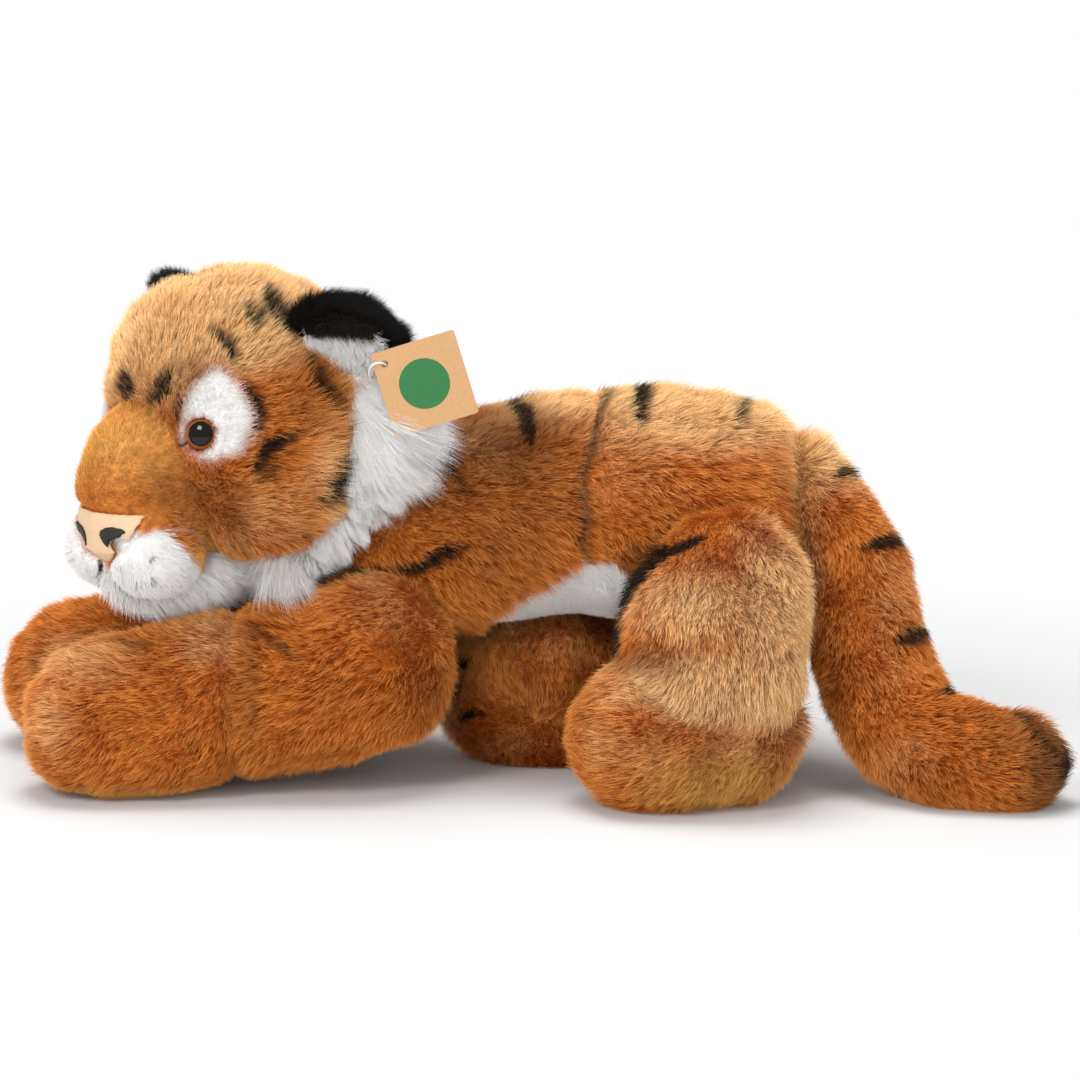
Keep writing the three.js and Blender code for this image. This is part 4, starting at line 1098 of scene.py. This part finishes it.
side_share = np.clip((sideways - cheek_start) / cheek_blend, 0, 1)
length = crown_fur + (cheek_fur - crown_fur) * side_share * part_of["head"]
for part, fur in ((muzzle, muzzle_fur), (pads, pad_fur), (chin, chin_fur), (eye_patches, patch_fur)):
    length = np.where(part > 0, fur, length)
length = evened(head, length, 10) + patches(pixels, cheek_edge_px) * part_of["head"]
hard_away = away_from(points, hard_parts).min(axis=0)
length = length * (shaved_share + (1 - shaved_share) * np.clip(hard_away / shaved_reach, 0, 1))
way = unit(points - nose_tip) + head_droop
for middle, _ in eyes:
    from_eye = points - middle
    near_eye = np.exp(-((np.linalg.norm(from_eye, axis=1) / eye_whorl) ** 2))[:, None]
    way = way * (1 - near_eye) + unit(from_eye) * near_eye * whorl_pull
dressed(
    head, "head", way, length, masks,
    fullness=np.clip((hard_away - bald_reach) / bald_blend, 0, 1), Seed=7, Tuft=0.0035, Lean=0.6,
)
standing_locks(head, "head", length > lock_fur, "plush_orange", Spacing=0.005, Radius=0.0018, Seed=27)


# Nose: a pad of peach velour sewn over the end of the muzzle, with two satin-stitched nostrils.
# The stitches lie on the velour and stand a little proud of it.
velour_low, velour_high = (0.69, 0.45, 0.27, 1), (0.80, 0.56, 0.36, 1)
nap_scale = 900.0
stitch_scale = 420.0
nostril_spread = 1.7
nostril_rise = 0.0014
nostril_lift = {"near": (-0.0015, 0, 0.0045), "far": (-0.001, 0, 0.004)}
nostril_stand_off = 0.006


def cloth_finish(name, color, roughness, sheen=0.0):
    """A matt cloth of one colour."""
    finish, tree, cloth = new_finish(name, roughness)
    cloth.inputs["Base Color"].default_value = color
    cloth.inputs["Sheen Weight"].default_value = sheen
    return finish, tree, cloth


velour, tree, cloth = cloth_finish("peach_velour", velour_low, 0.75, 0.15)
nap = noise(tree, object_place(tree), nap_scale, 3.0)
tree.links.new(color_mix(tree, nap, velour_low, velour_high), cloth.inputs["Base Color"])
bumped(tree, cloth, nap, 0.35, 0.0006)
nose = stuffed_skin("nose_velour", "head", ("nose_pad",), 0.0011, 4)
nose.data.materials.append(velour)
nose_tree = search_tree(nose.data)

stitch, tree, cloth = cloth_finish("black_satin_stitch", (0.012, 0.01, 0.01, 1), 0.42)
inputs = {"Vector": object_place(tree), "Scale": stitch_scale, "Distortion": 1.0}
rows = add(tree, "ShaderNodeTexWave", inputs, bands_direction="Z")
bumped(tree, cloth, rows.outputs["Fac"], 0.7, 0.0004)
for side, lift in nostril_lift.items():
    name = "nostril_" + side
    nostril = stuffed_skin(name + "_stitch", "head", (name,), 0.0006, 2)
    points, normals = points_and_normals(nostril)
    middle = points.mean(axis=0)
    points = middle + (points - middle) * nostril_spread + np.array(lift)
    spots, outward, _ = nearest(nose_tree, points + forward * nostril_stand_off)
    raised = nostril_rise * (0.25 + 0.5 * (normals * outward).sum(1))
    reshaped(nostril, spots + outward * raised[:, None])
    nostril.data.materials.append(stitch)


# Eyes: moulded plastic, amber at the rim and black in the middle under a clear polished dome.
# A shank goes through the plush to a white washer that is pressed on inside the head.
eye_radius = 0.0095
pupil_share = 0.70
iris_stops = (
    (pupil_share - 0.02, (0.004, 0.003, 0.003, 1)), (pupil_share + 0.02, (0.32, 0.095, 0.022, 1)),
    (0.9, (0.26, 0.07, 0.016, 1)), (1.0, (0.06, 0.02, 0.008, 1)),
)


def soft_shading_group():
    """Smooth shading for a CAD node, whose own mesh stays as it is."""
    tree, given, made = new_group(
        "soft_shading", "GeometryNodeTree", [("Geometry", "Geometry", None)], [("Geometry", "Geometry")])
    shaded = add(tree, "GeometryNodeSetShadeSmooth", {"Geometry": given[0]})
    tree.links.new(shaded.outputs[0], made[0])
    return tree


soft_shading = soft_shading_group()


def finished(node_name, finish, rounded=None):
    """Gives a CAD node its finish and, where told to, rounds its facets for the eye."""
    node = frame["nodes"][node_name]
    node.data.materials.clear()
    node.data.materials.append(finish)
    if rounded is not None:
        weld = node.modifiers.new("weld", "WELD")
        weld.merge_threshold = 0.00001
        if rounded:
            rounder = node.modifiers.new("rounder", "SUBSURF")
            rounder.levels = rounder.render_levels = rounded
        grown_by(node, soft_shading)


washer_finish, _, _ = cloth_finish("white_washer", (0.78, 0.78, 0.76, 1), 0.5)
for side in ("near", "far"):
    eye_finish, tree, lens = new_finish("amber_eye_" + side, 0.04)
    lens.inputs["Specular IOR Level"].default_value = 0.35
    middle, outward = outward_of(side)
    from_middle = vector_node(tree, "SUBTRACT", object_place(tree), tuple(middle))
    depth = vector_node(tree, "DOT_PRODUCT", from_middle, tuple(outward))
    level_part = vector_node(tree, "SUBTRACT", from_middle, vector_node(tree, "SCALE", tuple(outward), depth))
    share = math_node(tree, "DIVIDE", vector_node(tree, "LENGTH", level_part), eye_radius)
    iris = add(tree, "ShaderNodeValToRGB", {0: share})
    stops = iris.color_ramp.elements
    for at, color in iris_stops[1:-1]:
        stops.new(at).color = color
    for stop, (at, color) in ((stops[0], iris_stops[0]), (stops[-1], iris_stops[-1])):
        stop.position, stop.color = at, color
    tree.links.new(iris.outputs[0], lens.inputs["Base Color"])
    finished("eye_" + side, eye_finish, rounded=2)
    finished("eye_washer_" + side, washer_finish)


# Ears: black plush cups sewn to the crown, each with a white lining whose pile spills out.
# The lining is black above the fold, where the cup curls over it.
ear_fur = 0.0095
lining_fur = 0.007
lining_top = 0.245
lining_blend = 0.003
lining_droop = np.array((0, 0, -1.2))
ear_root = head_middle + np.array((0, 0, 0.01))
sewn_reach = 0.003


def plain_plush(name, low, high):
    """Plush of one colour: the backing, darkened with painted shade as under the pile, and its strands, with
    painted shade at their roots.
    """
    between = tuple(0.7 * dark + 0.3 * light for dark, light in zip(low, high))
    backing, _, cloth = cloth_finish(name + "_backing", between, 0.65)
    cloth.inputs["Specular IOR Level"].default_value = 0.12
    strands, tree, cloth = cloth_finish(name + "_strands", high, 0.65)
    cloth.inputs["Specular IOR Level"].default_value = 0.12
    tip = add(tree, "ShaderNodeAttribute", attribute_name="tip").outputs["Fac"]
    tree.links.new(color_mix(tree, tip, low, high), cloth.inputs["Base Color"])
    return backing, strands


black_plush = plain_plush("black_plush", (0.004, 0.004, 0.003, 1), (0.014, 0.013, 0.011, 1))
white_plush = plain_plush("white_plush", (0.74, 0.73, 0.71, 1), (0.90, 0.89, 0.88, 1))


def open_face(piece, beside):
    """Which points of a skin don't face the solid that it is sewn to."""
    points, normals = points_and_normals(piece)
    spots, _, away = nearest(search_tree(frame["nodes"][beside].data), points)
    facing = ((spots - points) * normals).sum(1) > 0
    return 1.0 - (facing & (away < sewn_reach))


for side, seed in (("near", 11), ("far", 13)):
    body = "ear_" + side
    lining_solid = "ear_lining_" + side
    ear = stuffed_skin(body + "_plush", body, (body,), 0.0016, 3)
    plump(ear, body, 0)
    points, _ = points_and_normals(ear)
    outer = open_face(ear, lining_solid)
    covered(ear, body, unit(points - ear_root), ear_fur, black_plush, fullness=outer,
            Seed=seed, Density=4.5e6, Gather=0.2, Radius=0.0001)
    standing_locks(ear, body, outer, "plush_black", Spacing=0.0035, Radius=0.0014, Seed=seed + 10)
    lining = stuffed_skin(body + "_lining_plush", body, (lining_solid,), 0.0014, 3)
    plump(lining, body, 0)
    points, _ = points_and_normals(lining)
    above_fold = (points[:, 2] - lining_top) / lining_blend
    masks = {"white": np.clip(1 - above_fold, 0, 1), "black": 2.5 * np.clip(above_fold, 0, 1)}
    dressed(lining, body, unit(points - ear_root) + lining_droop, lining_fur, masks,
            fullness=np.maximum(open_face(lining, body), above_fold > 0), Seed=seed + 1, Density=2.5e6)


# Ruffs: bands of long white pile down both cheeks, brushed out and down to a point.
# The pile is longest beside the cheek and at the beard, and is trimmed between them.
ruff_fur = 0.026
ruff_short_share = 0.3
ruff_long_px = [(400, 440, 62, 56, 0.75), (284, 574, 20, 34, 0.8)]
ruff_foot = 0.11
ruff_height = 0.12
for side, seed in (("near", 15), ("far", 16)):
    name = "ruff_" + side
    ruff = stuffed_skin(name + "_plush", "head", (name,), 0.002, 3)
    plump(ruff, "head", 0)
    points, _ = points_and_normals(ruff)
    outward = nearside if side == "near" else -nearside
    height = np.clip((points[:, 2] - ruff_foot) / ruff_height, 0, 1)[:, None]
    way = outward * 0.25 - forward * (0.4 + 0.5 * height) + np.array((0, 0, -1.0)) * (1 - 0.6 * height)
    on_near_side = points if side == "near" else mirrored(points, *head_mirror)
    length = ruff_fur * (ruff_short_share + patches(seen_px(on_near_side), ruff_long_px))
    covered(ruff, "head", way, length, white_plush,
            Seed=seed, Tuft=0.011, Lean=1.0, Gather=0.75, Stray=0.12, Density=3.2e6, Radius=0.00008)
    standing_locks(ruff, "head", np.ones(len(points)), "plush_white",
                   Spacing=0.0065, Radius=0.0026, Lean=1.0, Seed=seed + 10)


# Swing tag: a square of kraft card with a plain green disc, on a loop of white thread.
# The thread goes through the ear seam and the hole in the corner of the card.
kraft_low, kraft_high, green_print = (0.50, 0.27, 0.12, 1), (0.64, 0.38, 0.18, 1), (0.03, 0.17, 0.05, 1)
fibre_scale = 700.0
disc_radius = 0.0135
twist_scale = 300.0
card_finish, tree, card = cloth_finish("kraft_card", kraft_low, 0.8)
place = object_place(tree)
fibres = noise(tree, place, fibre_scale, 4.0)
from_card = vector_node(tree, "SUBTRACT", place, tuple(middle_of("tag_card")))
flat = vector_node(tree, "MULTIPLY", from_card, (1, 0, 1))
printed = math_node(tree, "LESS_THAN", vector_node(tree, "LENGTH", flat), disc_radius)
surface = color_mix(tree, printed, color_mix(tree, fibres, kraft_low, kraft_high), green_print)
tree.links.new(surface, card.inputs["Base Color"])
finished("tag_card", card_finish)

twist, tree, cloth = cloth_finish("white_cotton_thread", (0.86, 0.85, 0.82, 1), 0.8, 0.2)
turns = add(tree, "ShaderNodeTexWave", {"Vector": object_place(tree), "Scale": twist_scale},
            bands_direction="DIAGONAL")
bumped(tree, cloth, turns.outputs["Fac"], 0.5, 0.0003)
finished("tag_thread", twist, rounded=0)


# Studio: a pale seamless floor that fades to white, a large soft key from the upper left and fill.
# The fade and the white background are seen by the camera only and light nothing.
floor_reach = 8.0
floor_grey = (0.66, 0.66, 0.66, 1)
fade_start, fade_end = 0.28, 0.62
sky_light = 0.5
sky_seen = 1.0
floor_mesh = bpy.data.meshes.new("floor")
floor_mesh.from_pydata(
    [(-floor_reach, -floor_reach, 0), (floor_reach, -floor_reach, 0),
     (floor_reach, floor_reach, 0), (-floor_reach, floor_reach, 0)], [], [(0, 1, 2, 3)])
floor = new_object("floor", floor_mesh)
floor_finish, tree, paper = cloth_finish("floor_paper", floor_grey, 0.9)
camera_ray = tree.nodes.new("ShaderNodeLightPath").outputs["Is Camera Ray"]
under_camera_target = tuple(camera_target * Vector((1, 1, 0)))
reach = vector_node(tree, "LENGTH", vector_node(tree, "SUBTRACT", object_place(tree), under_camera_target))
glow = add(tree, "ShaderNodeEmission", {"Color": (1, 1, 1, 1)})
fade = product(tree, ramped(tree, reach, fade_start, fade_end), camera_ray)
blend = add(tree, "ShaderNodeMixShader", {0: fade, 1: paper.outputs[0], 2: glow.outputs[0]})
tree.links.new(blend.outputs[0], tree.nodes["Material Output"].inputs["Surface"])
floor_mesh.materials.append(floor_finish)

world = bpy.data.worlds.new("studio")
bpy.context.scene.world = world
world.use_nodes = True
tree = world.node_tree
sky = tree.nodes["Background"]
sky.inputs["Color"].default_value = (1, 1, 1, 1)
camera_ray = tree.nodes.new("ShaderNodeLightPath").outputs["Is Camera Ray"]
strength = math_node(tree, "MULTIPLY_ADD", camera_ray, sky_seen - sky_light, sky_light)
tree.links.new(strength, sky.inputs["Strength"])


def softbox(name, place, aim, size, watts, in_reflections=True):
    """A square studio light aimed at a point."""
    light = bpy.data.lights.new(name, "AREA")
    light.shape = "SQUARE"
    light.size = size
    light.energy = watts
    lamp = new_object(name, light)
    lamp.location = place
    lamp.rotation_euler = (Vector(place) - Vector(aim)).to_track_quat("Z", "Y").to_euler()
    lamp.visible_glossy = in_reflections


softbox("key", (-0.75, -1.05, 1.05), (-0.05, 0, 0.1), 0.5, 10.5)
softbox("top", (-0.1, 0.1, 1.6), (0, 0, 0.1), 0.9, 21)
softbox("fill", (1.2, -0.9, 0.7), (0, 0, 0.1), 1.0, 4.5, in_reflections=False)
softbox("low_fill", (-0.3, -1.7, 0.3), (0, 0, 0.08), 1.2, 11, in_reflections=False)

bpy.context.scene.view_settings.view_transform = "Standard"
